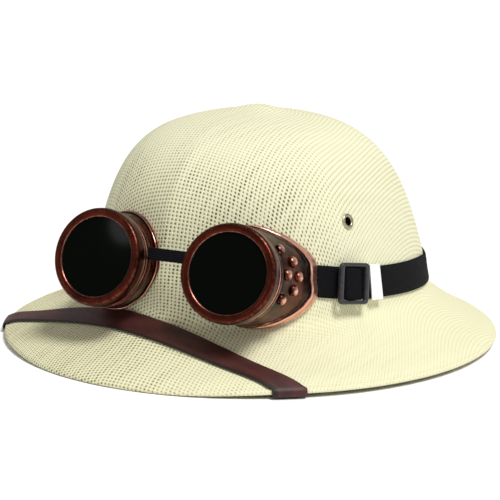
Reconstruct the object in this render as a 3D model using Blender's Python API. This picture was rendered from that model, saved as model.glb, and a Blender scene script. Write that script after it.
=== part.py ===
"""Pith helmet with goggles, at real size, in metres.

The helmet stands on its brim on the plane Z = 0 and faces -Y. The wearer's left is +X.
Angles round the helmet are measured from the front (-Y) towards the wearer's left (+X).
"""
import bpy
import bmesh
from math import atan2, cos, exp, pi, radians, sin, sqrt
from mathutils import Matrix, Vector
from mathutils.bvhtree import BVHTree

# Helmet shell
BRIM_WIDTH = 0.287
BRIM_LENGTH = 0.321
BRIM_SIDE_RISE = 0.0022
CROWN_WIDTH = 0.192
CROWN_LENGTH = 0.2276
CROWN_SET_BACK = 0.007
CROWN_TOP_SHIFT = 0.0094
JUNCTION_HEIGHT = 0.0278
HELMET_HEIGHT = 0.138
SHELL_WALL = 0.002
KNOB_HEIGHT = 0.0020
KNOB_RADIUS = 0.018
PANEL_RELIEF = 0.0022
FILLET = 0.0045
LIP_HEIGHT = 0.0028
LIP_THICKNESS = 0.0034
LIP_ROUND = 0.0006
RIDGES = 6

# Shape of the crown's plan and side curves
PLAN_POWER = 2.13
DOME_POWER = 2.4
SHOULDER_POWER = 2.68
CROWN_LEAN = 0.12
BRIM_SAG = 0.26

# Where the brim's edge lies flat on the ground, and where it is at its full side rise
FRONT_REST_ANGLE = radians(12)
REAR_REST_ANGLE = radians(25)
FULL_RISE_ANGLE = radians(38)

# Vent eyelets
EYELET_ANGLE = radians(61.9)
EYELET_RISE = 0.0535
EYELET_FLANGE_DIAMETER = 0.009
EYELET_BARREL_DIAMETER = 0.0062
EYELET_BORE = 0.005
EYELET_FLANGE = 0.0008

# Goggles
LENS_SPACING = 0.0806
GOGGLE_RISE = 0.0341
GOGGLE_NOSE_GAP = 0.0061
GOGGLE_TURN = radians(5.4)
LENS_TOE_OUT = radians(3.7)
LENS_TILT = radians(16.7)
RING_DIAMETER = 0.055
RING_DEPTH = 0.0075
RING_LIP = 0.0018
RING_WALL = 0.0022
LENS_VIEW_DIAMETER = 0.0446
LENS_THICKNESS = 0.002
COLLAR_DIAMETER = 0.0530
COLLAR_DEPTH = 0.0095
COLLAR_GROOVE = 0.0007
CUP_WALL = 0.002
BORDER_WIDTH = 0.0038
BORDER_RELIEF = 0.0011
STUD_DIAMETER = 0.0050
STUD_RELIEF = 0.0017
BRIDGE_HEIGHT = 0.0068
BRIDGE_THICKNESS = 0.0016
BRIDGE_RISE = 0.0065

# Back outline of a cup, seen along the lens axis: angle from the temple side (degrees, upwards),
# and radius as a share of the lens ring's radius
CUP_OUTLINE = (
    (-180, 1.05),
    (-155, 0.94),
    (-125, 0.89),
    (-95, 0.96),
    (-60, 1.05),
    (-40, 1.09),
    (-23, 1.16),
    (-9, 1.21),
    (8, 1.18),
    (25, 1.26),
    (34, 1.25),
    (48, 1.18),
    (66, 1.12),
    (90, 1.10),
    (135, 1.06),
)

# Studs on the temple side of a cup: angle round the lens axis (degrees, upwards), and how far back
# the stud sits, as a share of the way from the collar to the cup's back edge
STUDS = (
    (40, 0.10),
    (25, 0.31),
    (9, 0.12),
    (9, 0.45),
    (-7, 0.33),
    (-21, 0.12),
)

# Elastic head strap, its slide, its doubled end and the clip on that end
STRAP_WIDTH = 0.0180
STRAP_THICKNESS = 0.0012
STRAP_REAR_RISE = 0.0120
STRAP_DROP_POWER = 3.2
STRAP_ON_WING = 0.0050
BUCKLE_FROM_WING = 0.0100
BUCKLE_LENGTH = 0.0222
BUCKLE_RAIL = 0.0022
BUCKLE_THICKNESS = 0.0022
BUCKLE_BAR = 0.0032
TAIL_HUMP = 0.0034
CLIP_FROM_BUCKLE = 0.0036
CLIP_LENGTH = 0.0098
CLIP_THICKNESS = 0.0006
CLIP_MARGIN = 0.0006

# Leather chin strap: where it crosses the brim's edge, and how far it bows forward between
CHIN_WIDTH = 0.0134
CHIN_THICKNESS = 0.0012
CHIN_LEFT_ANGLE = radians(37.8)
CHIN_RIGHT_ANGLE = radians(-54)
CHIN_BOW = 0.0094
CHIN_ANCHOR_ANGLE = radians(91)
CHIN_ANCHOR_OUTSET = 0.009
CHIN_ANCHOR_LENGTH = 0.020

# Gaps between pieces
SEAT_GAP = 0.00035
STRAP_GAP = 0.0006
WINDOW_GAP = 0.0005
CUP_GAP = 0.0006

# Fineness of the meshes
SHELL_SIDES = 54
CROWN_ROWS = 11
CUP_SIDES = 34
RING_SIDES = 30
EYELET_SIDES = 12
CHIN_STEPS = 24
STRAP_ACROSS = (-0.5, 0, 0.5)
STRAP_MIDDLE = 1

# Length of a line that starts outside the helmet whatever the direction
REACH = 0.5

# Height over the crown of the outside of the doubled elastic
DOUBLED_HEIGHT = STRAP_GAP + 2 * STRAP_THICKNESS + SEAT_GAP

UP = Vector((0, 0, 1))
CROWN_AXIS = Vector((0, CROWN_SET_BACK, 0))


def heading(angle):
    """Level direction at an angle from the front, towards the wearer's left."""
    return Vector((sin(angle), -cos(angle), 0))


def smooth(share):
    share = min(max(share, 0), 1)
    return share * share * (3 - 2 * share)


def make_material(name, colour, roughness, metallic=0.0):
    material = bpy.data.materials.new(name)
    material.use_nodes = True
    shader = material.node_tree.nodes["Principled BSDF"]
    shader.inputs["Base Color"].default_value = (*colour, 1)
    shader.inputs["Roughness"].default_value = roughness
    shader.inputs["Metallic"].default_value = metallic
    return material


def add_object(name, mesh_data, material):
    """Turn a bmesh into a named object with outward faces and its own material."""
    bmesh.ops.recalc_face_normals(mesh_data, faces=mesh_data.faces)
    mesh = bpy.data.meshes.new(name)
    mesh_data.to_mesh(mesh)
    mesh_data.free()
    mesh.materials.append(material)
    mesh.shade_smooth()
    mesh.set_sharp_from_angle(angle=radians(35))
    piece = bpy.data.objects.new(name, mesh)
    bpy.context.collection.objects.link(piece)
    return piece


def closed_rings(mesh_data, rings, joined=False):
    """Skin a list of rings of points. The first and last ring are joined, or else end in poles."""
    rows = [[mesh_data.verts.new(point) for point in ring] for ring in rings]
    pairs = list(zip(rows, rows[1:]))
    if joined:
        pairs.append((rows[-1], rows[0]))
    for first, second in pairs:
        skin(mesh_data, first, second)
    return rows


def skin(mesh_data, first, second):
    """Bridge two closed loops of vertices; a loop of one vertex is a pole."""
    count = max(len(first), len(second))
    for i in range(count):
        j = (i + 1) % count
        if len(first) == 1:
            mesh_data.faces.new((first[0], second[i], second[j]))
        elif len(second) == 1:
            mesh_data.faces.new((first[i], second[0], first[j]))
        else:
            mesh_data.faces.new((first[i], second[i], second[j], first[j]))


def band(inner, outer):
    """Closed solid between two grids of points with the same rows and columns."""
    mesh_data = bmesh.new()
    low = [[mesh_data.verts.new(point) for point in row] for row in inner]
    high = [[mesh_data.verts.new(point) for point in row] for row in outer]
    rows, columns = len(low), len(low[0])
    for i in range(rows - 1):
        for j in range(columns - 1):
            mesh_data.faces.new((low[i][j], low[i][j + 1], low[i + 1][j + 1], low[i + 1][j]))
            mesh_data.faces.new((high[i][j], high[i + 1][j], high[i + 1][j + 1], high[i][j + 1]))
        for j in (0, columns - 1):
            mesh_data.faces.new((low[i][j], low[i + 1][j], high[i + 1][j], high[i][j]))
    for i in (0, rows - 1):
        for j in range(columns - 1):
            mesh_data.faces.new((low[i][j], low[i][j + 1], high[i][j + 1], high[i][j]))
    return mesh_data


def grid_normals(grid, outward):
    """Unit normals of an open grid of points, on the side that the direction `outward` faces."""
    rows, columns = len(grid), len(grid[0])
    normals = []
    for i in range(rows):
        line = []
        for j in range(columns):
            along = grid[min(i + 1, rows - 1)][j] - grid[max(i - 1, 0)][j]
            across = grid[i][min(j + 1, columns - 1)] - grid[i][max(j - 1, 0)]
            line.append(along.cross(across).normalized())
        normals.append(line)
    middle = normals[rows // 2][columns // 2]
    sign = 1 if middle.dot(outward) > 0 else -1
    return [[normal * sign for normal in line] for line in normals]


def raised(grid, normals, height):
    """The same grid, moved along its normals; height is one value, or one for each row."""
    heights = height if isinstance(height, list) else [height] * len(grid)
    return [[point + normal * lift for point, normal in zip(line, directions)]
            for line, directions, lift in zip(grid, normals, heights)]


def flat_band(grid, outward, gap, thickness):
    """Strap that lies on a grid of points at a gap and has a thickness."""
    normals = grid_normals(grid, outward)
    return band(raised(grid, normals, gap), raised(grid, normals, gap + thickness))


def turned(profile, sides, place):
    """Closed turned solid: a loop of (radius, depth) points round the local Z axis."""
    mesh_data = bmesh.new()
    rings = []
    for radius, depth in profile:
        ring = []
        for i in range(sides if radius > 0 else 1):
            turn = 2 * pi * i / sides
            ring.append(place @ Vector((radius * cos(turn), radius * sin(turn), depth)))
        rings.append(ring)
    closed_rings(mesh_data, rings, joined=len(rings[0]) > 1)
    return mesh_data


def crown_radius(angle):
    across = abs(sin(angle)) / (CROWN_WIDTH / 2)
    along = abs(cos(angle)) / (CROWN_LENGTH / 2)
    return (across ** PLAN_POWER + along ** PLAN_POWER) ** (-1 / PLAN_POWER)


def edge_radius(angle):
    return ((sin(angle) / (BRIM_WIDTH / 2)) ** 2 + (cos(angle) / (BRIM_LENGTH / 2)) ** 2) ** -0.5


def edge_height(angle):
    """Height of the brim's lower edge: flat at the front and rear, raised at the sides."""
    turn = abs((angle + pi) % (2 * pi) - pi)
    rest = FRONT_REST_ANGLE
    if turn > pi / 2:
        turn = pi - turn
        rest = REAR_REST_ANGLE
    return BRIM_SIDE_RISE * smooth((turn - rest) / (FULL_RISE_ANGLE - rest))


def crown_point(angle, rise):
    """Point on the outside of the crown; rise is 0 at the brim and 1 at the top."""
    share = max(1 - rise ** DOME_POWER, 0) ** (1 / SHOULDER_POWER)
    share *= 1 - 2 * CROWN_LEAN * rise * (1 - rise)
    ridge = 2 / pi - abs(sin(RIDGES / 2 * angle))
    radius = crown_radius(angle) * share + PANEL_RELIEF * ridge * smooth(4 * rise) * share
    dome = HELMET_HEIGHT - KNOB_HEIGHT - JUNCTION_HEIGHT
    height = JUNCTION_HEIGHT + dome * rise + KNOB_HEIGHT * exp(-(radius / KNOB_RADIUS) ** 2)
    return CROWN_AXIS + heading(angle) * radius + Vector((0, -CROWN_TOP_SHIFT * rise, height))


def lip_point(angle, inset, height):
    return heading(angle) * (edge_radius(angle) - inset) + UP * (edge_height(angle) + height)


def brim_point(angle, share):
    """Point on top of the brim, from the crown (0) to the start of the turned lip (1)."""
    inner = crown_point(angle, 0)
    outer = lip_point(angle, LIP_THICKNESS / 2, LIP_HEIGHT)
    point = inner.lerp(outer, share)
    point.z = inner.z + (outer.z - inner.z) * (share + BRIM_SAG * share * (1 - share))
    return point


def shell_column(angle):
    """Points down the outside of the helmet at one angle, from below the top to the lip."""
    rises = []
    for row in range(1, CROWN_ROWS):
        share = sin(pi / 2 * row / CROWN_ROWS)
        rises.append((1 - share ** SHOULDER_POWER) ** (1 / DOME_POWER))
    lowest = FILLET / (HELMET_HEIGHT - JUNCTION_HEIGHT)
    rises.append((rises[-1] + lowest) / 2)
    wall = [crown_point(angle, rise) for rise in rises + [lowest]]
    corner = crown_point(angle, 0)
    start = FILLET / (brim_point(angle, 1) - corner).length
    brim = [brim_point(angle, share) for share in (start, 0.25, 0.5, 0.75, 1)]
    curve = []
    for share in (0.25, 0.5, 0.75):
        curve.append(wall[-1].lerp(corner, share).lerp(corner.lerp(brim[0], share), share))
    return wall + curve + brim


def build_shell_mesh():
    """Crown and brim as one hollow solid with a turned lip round its edge."""
    angles = [2 * pi * i / SHELL_SIDES for i in range(SHELL_SIDES)]
    columns = [shell_column(angle) for angle in angles]
    top = crown_point(0, 1)
    outside = [[column[row] for column in columns] for row in range(len(columns[0]))]
    inside = []
    for row in range(len(outside) - 1):
        above = outside[row - 1] if row else [top] * SHELL_SIDES
        below = outside[row + 1]
        ring = []
        for i, point in enumerate(outside[row]):
            around = outside[row][(i + 1) % SHELL_SIDES] - outside[row][i - 1]
            ring.append(point - (below[i] - above[i]).cross(around).normalized() * SHELL_WALL)
        inside.append(ring)
    lip = (
        (LIP_ROUND, LIP_HEIGHT - LIP_ROUND),
        (0, LIP_HEIGHT - 3 * LIP_ROUND),
        (0, LIP_ROUND),
        (LIP_ROUND, 0),
        (LIP_THICKNESS - LIP_ROUND, 0),
        (LIP_THICKNESS, LIP_ROUND),
        (LIP_THICKNESS + LIP_ROUND, LIP_HEIGHT - SHELL_WALL),
    )
    edge = [[lip_point(angle, inset, height) for angle in angles] for inset, height in lip]
    rings = [[top]] + outside + edge + inside[::-1] + [[top - UP * SHELL_WALL]]
    mesh_data = bmesh.new()
    closed_rings(mesh_data, rings)
    bmesh.ops.recalc_face_normals(mesh_data, faces=mesh_data.faces)
    bmesh.ops.triangulate(mesh_data, faces=mesh_data.faces)
    return mesh_data


def outer_hit(surface, angle, height):
    """Point and normal of the crown's outside at an angle round it and a height."""
    start = CROWN_AXIS + heading(angle) * REACH + UP * height
    point, normal, _, _ = surface.ray_cast(start, -heading(angle))
    return point, normal


def look_along(origin, forward):
    """Frame with its Z axis along `forward`, its X axis level and its Y axis upwards."""
    side = UP.cross(forward).normalized()
    up = forward.cross(side)
    return Matrix.Translation(origin) @ Matrix((side, up, forward)).transposed().to_4x4()


def build_eyelets(shell, surface, brass):
    """Brass eyelets through the crown, each in its own hole."""
    height = JUNCTION_HEIGHT + EYELET_RISE
    for name, angle in (("vent_eyelet_left", EYELET_ANGLE), ("vent_eyelet_right", -EYELET_ANGLE)):
        point, normal = outer_hit(surface, angle, height)
        place = look_along(point, normal)
        flange = EYELET_FLANGE_DIAMETER / 2
        barrel = EYELET_BARREL_DIAMETER / 2
        bore = EYELET_BORE / 2
        inside = -SHELL_WALL - SEAT_GAP
        profile = (
            (bore, SEAT_GAP + EYELET_FLANGE),
            (flange - EYELET_FLANGE / 2, SEAT_GAP + EYELET_FLANGE),
            (flange, SEAT_GAP + EYELET_FLANGE / 2),
            (flange, SEAT_GAP),
            (barrel, SEAT_GAP),
            (barrel, inside),
            (flange, inside),
            (flange, inside - EYELET_FLANGE),
            (bore, inside - EYELET_FLANGE),
        )
        add_object(name, turned(profile, EYELET_SIDES, place), brass)
        hole = barrel + SEAT_GAP
        drill = turned(((0, -4 * SHELL_WALL), (hole, -4 * SHELL_WALL), (hole, 4 * SHELL_WALL),
                        (0, 4 * SHELL_WALL)), EYELET_SIDES, place)
        cutter = add_object(name + "_drill", drill, brass)
        cutter.hide_render = True
        cutter.display_type = "WIRE"
        cut = shell.modifiers.new(name + "_hole", "BOOLEAN")
        cut.operation = "DIFFERENCE"
        cut.object = cutter


def edge_crossing(start, direction):
    """Distance along a level line at which it crosses the brim's outer edge."""
    width, length = BRIM_WIDTH / 2, BRIM_LENGTH / 2
    a = (direction.x / width) ** 2 + (direction.y / length) ** 2
    b = start.x * direction.x / width ** 2 + start.y * direction.y / length ** 2
    c = (start.x / width) ** 2 + (start.y / length) ** 2 - 1
    return (sqrt(b * b - a * c) - b) / a


def chin_rail(surface, offset):
    """One lengthwise line of the chin strap, at a distance from its middle towards the crown.

    It runs from its fixed end under the brim on the wearer's right, round the edge, over the
    front of the brim, round the other edge and back to the fixed end on the left.
    """
    ends = [heading(angle) * edge_radius(angle) for angle in (CHIN_RIGHT_ANGLE, CHIN_LEFT_ANGLE)]
    line = (ends[1] - ends[0]).normalized()
    inward = UP.cross(line)
    span = (ends[1] - ends[0]).length

    def over(share):
        bow = 4 * CHIN_BOW * share * (1 - share)
        return ends[0] + line * span * share + inward * (offset - bow)

    limits = []
    for share, aim in ((0.1, -1), (0.9, 1)):
        slope = (over(share + 0.01) - over(share - 0.01)).normalized() * aim
        reach = edge_crossing(over(share), slope)
        limits.append(share + aim * reach * abs(slope.dot(line)) / span)
    top = []
    for i in range(CHIN_STEPS + 1):
        level = over(limits[0] + (limits[1] - limits[0]) * i / CHIN_STEPS)
        angle = atan2(level.x, -level.y)
        inset = edge_radius(angle) - level.length
        if inset < LIP_THICKNESS / 2:
            continue
        top.append(surface.ray_cast(level + UP * REACH, -UP)[0])
    under = {}
    for side, share in ((-1, limits[0]), (1, limits[1])):
        crossing = over(share)
        angle = atan2(crossing.x, -crossing.y)
        wrap = [lip_point(angle, inset, height) for inset, height in (
            (LIP_ROUND, LIP_HEIGHT - LIP_ROUND), (0, LIP_HEIGHT - 3 * LIP_ROUND), (0, LIP_ROUND),
            (LIP_ROUND, 0), (LIP_THICKNESS + LIP_ROUND, 0))]
        anchor_angle = side * CHIN_ANCHOR_ANGLE
        anchor = crown_point(anchor_angle, 0) + heading(anchor_angle) * (CHIN_ANCHOR_OUTSET + offset)
        back = [wrap[-1].lerp(anchor, share) for share in (0.2, 0.4, 0.6, 0.8)]
        for share in (0, 0.5, 1):
            level = anchor + Vector((0, CHIN_ANCHOR_LENGTH * share, 0))
            level.z = 0
            back.append(surface.ray_cast(level, UP)[0])
        join = back[4]
        for i in range(4):
            back[i].z = wrap[-1].z + (join.z - wrap[-1].z) * (i + 1) / 5
        under[side] = wrap + back
    return under[-1][::-1] + top + under[1]


def build_chin_strap(surface):
    rails = [chin_rail(surface, CHIN_WIDTH * share) for share in (-0.5, -0.25, 0, 0.25, 0.5)]
    grid = [list(points) for points in zip(*rails)]
    return flat_band(grid, UP, STRAP_GAP, CHIN_THICKNESS)


def outline_radius(angle):
    """Radius of a cup's back outline, smoothly through its table; angle in degrees."""
    rows = CUP_OUTLINE + ((CUP_OUTLINE[0][0] + 360, CUP_OUTLINE[0][1]),)
    for (low, first), (high, second) in zip(rows, rows[1:]):
        if low <= angle < high:
            share = smooth((angle - low) / (high - low))
            return RING_DIAMETER / 2 * (first + (second - first) * share)
    return RING_DIAMETER / 2 * rows[0][1]


def goggle_places(surface):
    """Frames of the two lenses: X towards the temple, Y upwards, Z out of the lens."""
    height = JUNCTION_HEIGHT + GOGGLE_RISE
    front, _ = outer_hit(surface, GOGGLE_TURN, height)
    standoff = GOGGLE_NOSE_GAP + COLLAR_DEPTH + RING_DEPTH - RING_LIP
    middle = front + heading(GOGGLE_TURN) * standoff
    across = UP.cross(heading(GOGGLE_TURN))
    places = {}
    for name, side in (("left", 1), ("right", -1)):
        level = heading(GOGGLE_TURN + side * LENS_TOE_OUT)
        forward = (level * cos(LENS_TILT) + UP * sin(LENS_TILT)).normalized()
        temple = UP.cross(level) * side
        up = (UP * cos(LENS_TILT) - level * sin(LENS_TILT)).normalized()
        centre = middle + across * side * LENS_SPACING / 2
        turn = Matrix((temple, up, forward)).transposed().to_4x4()
        places[name] = Matrix.Translation(centre) @ turn
    return places


def seat_depth(place, surface, angle, radius):
    """Depth along the lens axis at which a point at this angle and radius meets a surface."""
    start = place @ Vector((radius * cos(angle), radius * sin(angle), RING_LIP))
    backwards = -(place.to_3x3() @ Vector((0, 0, 1)))
    hit = surface.ray_cast(start, backwards)
    return -REACH if hit[0] is None else RING_LIP - hit[3]


def cup_edge(place, shell, strap, angles, inset):
    """Back edge of a cup: a ring of (radius, depth) that clears the shell and the chin strap."""
    samples = []
    for angle in angles:
        radius = outline_radius((angle * 180 / pi + 180) % 360 - 180) - inset
        depths = [seat_depth(place, shell, angle, radius)]
        for share in (-1, -0.5, 0, 0.5, 1):
            depths.append(seat_depth(place, strap, angle + share * 2 * pi / CUP_SIDES, radius))
        samples.append((radius, max(depths)))
    edge = []
    for i, (radius, _) in enumerate(samples):
        nearby = [samples[(i + step) % len(samples)][1] for step in (-1, 0, 1)]
        own = samples[i][1]
        edge.append((radius, max(own, (own + max(nearby)) / 2) + CUP_GAP))
    return edge


def build_cup(name, place, shell, strap, copper):
    """Hollow eye cup: spigot, grooved collar, side wall that follows the helmet, raised border."""
    angles = [2 * pi * i / CUP_SIDES for i in range(CUP_SIDES)]
    ring_back = RING_LIP - RING_DEPTH
    spigot = RING_DIAMETER / 2 - RING_WALL - SEAT_GAP
    lens_back = -LENS_THICKNESS - SEAT_GAP
    collar = COLLAR_DIAMETER / 2
    shoulder = ring_back - SEAT_GAP
    collar_end = shoulder - COLLAR_DEPTH
    bore = spigot - CUP_WALL
    groove = collar - COLLAR_GROOVE
    front = (
        (bore, lens_back),
        (spigot, lens_back),
        (spigot, shoulder),
        (collar, shoulder),
        (collar, shoulder - 0.50 * COLLAR_DEPTH),
        (groove, shoulder - 0.55 * COLLAR_DEPTH),
        (groove, shoulder - 0.62 * COLLAR_DEPTH),
        (collar, shoulder - 0.67 * COLLAR_DEPTH),
        (collar, shoulder - 0.86 * COLLAR_DEPTH),
        (groove, shoulder - 0.93 * COLLAR_DEPTH),
        (groove, collar_end),
    )
    rings = [[(radius, depth)] * CUP_SIDES for radius, depth in front]
    outer = cup_edge(place, shell, strap, angles, 0)
    inner = cup_edge(place, shell, strap, angles, BORDER_RELIEF + CUP_WALL)

    def wall(share_of, lift):
        ring = []
        for radius, depth in outer:
            share = share_of(collar_end - depth)
            base = groove + (radius - BORDER_RELIEF - groove) * share
            ring.append((base + lift, collar_end + (depth - collar_end) * share))
        return ring

    def border_start(length):
        return 1 - min(BORDER_WIDTH / length, 0.5)

    rings.append(wall(lambda length: border_start(length) / 2, 0))
    rings.append(wall(border_start, 0))
    rings.append(wall(border_start, BORDER_RELIEF))
    rings.append(outer)
    rings.append(inner)
    waist = []
    for radius, depth in inner:
        waist.append(((radius + bore) / 2, (depth + collar_end) / 2))
    rings.append(waist)
    rings.append([(bore, collar_end)] * CUP_SIDES)
    mesh_data = bmesh.new()
    points = []
    for ring in rings:
        points.append([place @ Vector((radius * cos(angle), radius * sin(angle), depth))
                       for angle, (radius, depth) in zip(angles, ring)])
    closed_rings(mesh_data, points, joined=True)
    cup = add_object(name, mesh_data, copper)
    studs = bmesh.new()
    for degrees, share in STUDS:
        add_stud(studs, place, angles, outer, groove, collar_end, radians(degrees), share)
    relief = add_object(name + "_studs", studs, copper)
    relief.hide_render = True
    relief.display_type = "WIRE"
    join = cup.modifiers.new("studs", "BOOLEAN")
    join.operation = "UNION"
    join.object = relief
    return points[-4]


def add_stud(studs, place, angles, outer, groove, collar_end, angle, share):
    """Low dome on the side wall of a cup, sunk a little into it."""
    index = round(angle / (2 * pi) * CUP_SIDES) % CUP_SIDES
    radius, depth = outer[index]

    def side_wall(turn, part):
        spread = groove + (radius - BORDER_RELIEF - groove) * part
        return place @ Vector((spread * cos(turn), spread * sin(turn),
                               collar_end + (depth - collar_end) * part))

    centre = side_wall(angle, share)
    along = side_wall(angle, share + 0.1) - centre
    around = side_wall(angle + 0.1, share) - centre
    normal = along.cross(around).normalized()
    if normal.dot(centre - place.translation) < 0:
        normal = -normal
    frame = look_along(centre, normal)
    sunk = CUP_WALL / 2
    profile = [(0, -sunk), (STUD_DIAMETER / 2, -sunk)]
    for row in range(3):
        turn = pi / 2 * row / 3
        profile.append((STUD_DIAMETER / 2 * cos(turn), STUD_RELIEF * sin(turn)))
    profile.append((0, STUD_RELIEF))
    rings = []
    for reach, height in profile:
        count = 8 if reach > 0 else 1
        rings.append([frame @ Vector((reach * cos(2 * pi * i / count),
                                      reach * sin(2 * pi * i / count), height))
                      for i in range(count)])
    closed_rings(studs, rings)


def build_lens_ring(name, place, copper):
    """Turned ring with a rounded front lip; it holds the lens against the cup's spigot."""
    outer = RING_DIAMETER / 2
    bore = outer - RING_WALL
    view = LENS_VIEW_DIAMETER / 2
    back = RING_LIP - RING_DEPTH
    face = (outer + view) / 2
    profile = (
        (bore, back),
        (outer - RING_LIP / 3, back),
        (outer, back + RING_LIP / 3),
        (outer, -RING_LIP / 2),
        (outer - RING_LIP / 3, RING_LIP * 0.7),
        (face + RING_LIP / 2, RING_LIP),
        (face - RING_LIP, RING_LIP * 0.9),
        (view, RING_LIP * 0.35),
        (view, SEAT_GAP / 2),
        (bore, SEAT_GAP / 2),
    )
    return add_object(name, turned(profile, RING_SIDES, place), copper)


def build_lens(name, place, glass):
    """Flat dark lens between the ring's lip and the cup's spigot."""
    radius = RING_DIAMETER / 2 - RING_WALL - SEAT_GAP
    front = -SEAT_GAP / 2
    profile = ((0, front), (radius, front), (radius, -LENS_THICKNESS), (0, -LENS_THICKNESS))
    return add_object(name, turned(profile, RING_SIDES, place), glass)


def build_bridge(places, elastic):
    """Narrow elastic between the collars of the two cups."""
    collar = COLLAR_DIAMETER / 2 + SEAT_GAP
    depth = RING_LIP - RING_DEPTH - COLLAR_DEPTH / 2
    reach = sqrt(collar ** 2 - (BRIDGE_RISE - BRIDGE_HEIGHT / 2) ** 2)
    grid = []
    ends = []
    for name in ("right", "left"):
        place = places[name]
        ends.append([place @ Vector((-reach, BRIDGE_RISE + BRIDGE_HEIGHT * share, depth))
                     for share in (-0.5, 0.5)])
    for share in (0, 0.25, 0.5, 0.75, 1):
        grid.append([first.lerp(second, share) for first, second in zip(*ends)])
    outward = places["left"].to_3x3() @ Vector((0, 0, 1))
    return add_object("bridge_strap", flat_band(grid, outward, 0, BRIDGE_THICKNESS), elastic)


def strap_stations(tips):
    """Rows of the head strap: angle round the crown and height of its middle, wing to wing."""
    (start, start_height), (end, end_height) = tips
    span = 2 * pi - start - abs(end)
    rear = JUNCTION_HEIGHT + STRAP_REAR_RISE
    step = 2 * pi / SHELL_SIDES
    first = int(start / step) + 1
    angles = [start] + [step * i for i in range(first, SHELL_SIDES) if step * i < start + span]
    rows = []
    for angle in angles + [start + span]:
        share = (angle - start) / span * 2
        height = start_height if share < 1 else end_height
        rows.append((angle, rear + (height - rear) * abs(1 - share) ** STRAP_DROP_POWER))
    return rows


def strap_row(surface, angle, height):
    """Points across the strap on the outside of the crown, from its lower to its upper edge."""
    _, normal = outer_hit(surface, angle, height)
    rise = STRAP_WIDTH * sqrt(1 - normal.z ** 2)
    return [outer_hit(surface, angle, height + rise * share)[0] for share in STRAP_ACROSS]


def strap_position(surface, rows, distance):
    """Angle and height on the strap's middle line at a distance from the left wing."""
    travelled = 0
    for (angle, height), (next_angle, next_height) in zip(rows, rows[1:]):
        step = (outer_hit(surface, next_angle, next_height)[0]
                - outer_hit(surface, angle, height)[0]).length
        if travelled + step >= distance:
            share = (distance - travelled) / step
            return angle + (next_angle - angle) * share, height + (next_height - height) * share
        travelled += step
    return rows[-1]


def strap_patch(surface, rows, start, length, steps):
    """Grid on the crown under a stretch of the strap."""
    grid = []
    for i in range(steps + 1):
        angle, height = strap_position(surface, rows, start + length * i / steps)
        grid.append(strap_row(surface, angle, height))
    return grid


def build_head_strap(surface, rows, elastic):
    grid = [strap_row(surface, angle, height) for angle, height in rows]
    solid = flat_band(grid, -heading(0), STRAP_GAP, STRAP_THICKNESS)
    return add_object("head_strap", solid, elastic)


def build_buckle(surface, rows, plastic):
    """Rectangular plastic slide that stands on the doubled elastic."""
    window_height = STRAP_WIDTH + 2 * WINDOW_GAP
    first, middle, last = strap_patch(surface, rows, BUCKLE_FROM_WING, BUCKLE_LENGTH, 2)
    centre = middle[STRAP_MIDDLE]
    along = (last[STRAP_MIDDLE] - first[STRAP_MIDDLE]).normalized()
    up = (middle[-1] - middle[0]).normalized()
    outward = along.cross(up).normalized()
    if outward.dot(centre - CROWN_AXIS) < 0:
        outward = -outward
    turn = Matrix((along, outward.cross(along), outward)).transposed().to_4x4()
    frame = Matrix.Translation(centre) @ turn
    bottom = DOUBLED_HEIGHT + SEAT_GAP

    def outline(share):
        x = BUCKLE_LENGTH / 2 - BUCKLE_BAR * share
        y = window_height / 2 + BUCKLE_RAIL * (1 - share)
        cut = BUCKLE_RAIL * (1 - 0.7 * share)
        return ((x, y - cut), (x - cut, y), (-x + cut, y), (-x, y - cut),
                (-x, -y + cut), (-x + cut, -y), (x - cut, -y), (x, -y + cut))

    rise = BUCKLE_THICKNESS
    loops = ((0, 0), (0, 0.75 * rise), (0.2, rise), (0.8, rise), (1, 0.75 * rise), (1, 0))
    mesh_data = bmesh.new()
    rings = [[frame @ Vector((x, y, bottom + lift)) for x, y in outline(share)]
             for share, lift in loops]
    closed_rings(mesh_data, rings, joined=True)
    return add_object("strap_buckle", mesh_data, plastic)


def build_tail(surface, rows, elastic):
    """Doubled end of the elastic: up over the slide's bar, under its far side and to the clip."""
    start = BUCKLE_FROM_WING + BUCKLE_BAR + SEAT_GAP
    window = BUCKLE_LENGTH - 2 * BUCKLE_BAR - 2 * SEAT_GAP
    length = BUCKLE_LENGTH - BUCKLE_BAR - SEAT_GAP + CLIP_FROM_BUCKLE + CLIP_LENGTH
    steps = 18
    grid = strap_patch(surface, rows, start, length, steps)
    heights = []
    for i in range(steps + 1):
        share = (length * i / steps) / window
        hump = TAIL_HUMP * min(smooth(share * 5), smooth((1 - share) * 5))
        heights.append(DOUBLED_HEIGHT + max(hump - STRAP_THICKNESS, 0))
    normals = grid_normals(grid, grid[0][STRAP_MIDDLE] - CROWN_AXIS)
    base = raised(grid, normals, DOUBLED_HEIGHT - STRAP_THICKNESS)
    straight = [[line[STRAP_MIDDLE]] * len(line) for line in normals]
    return add_object("strap_tail", band(base, raised(grid, straight, heights)), elastic)


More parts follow.
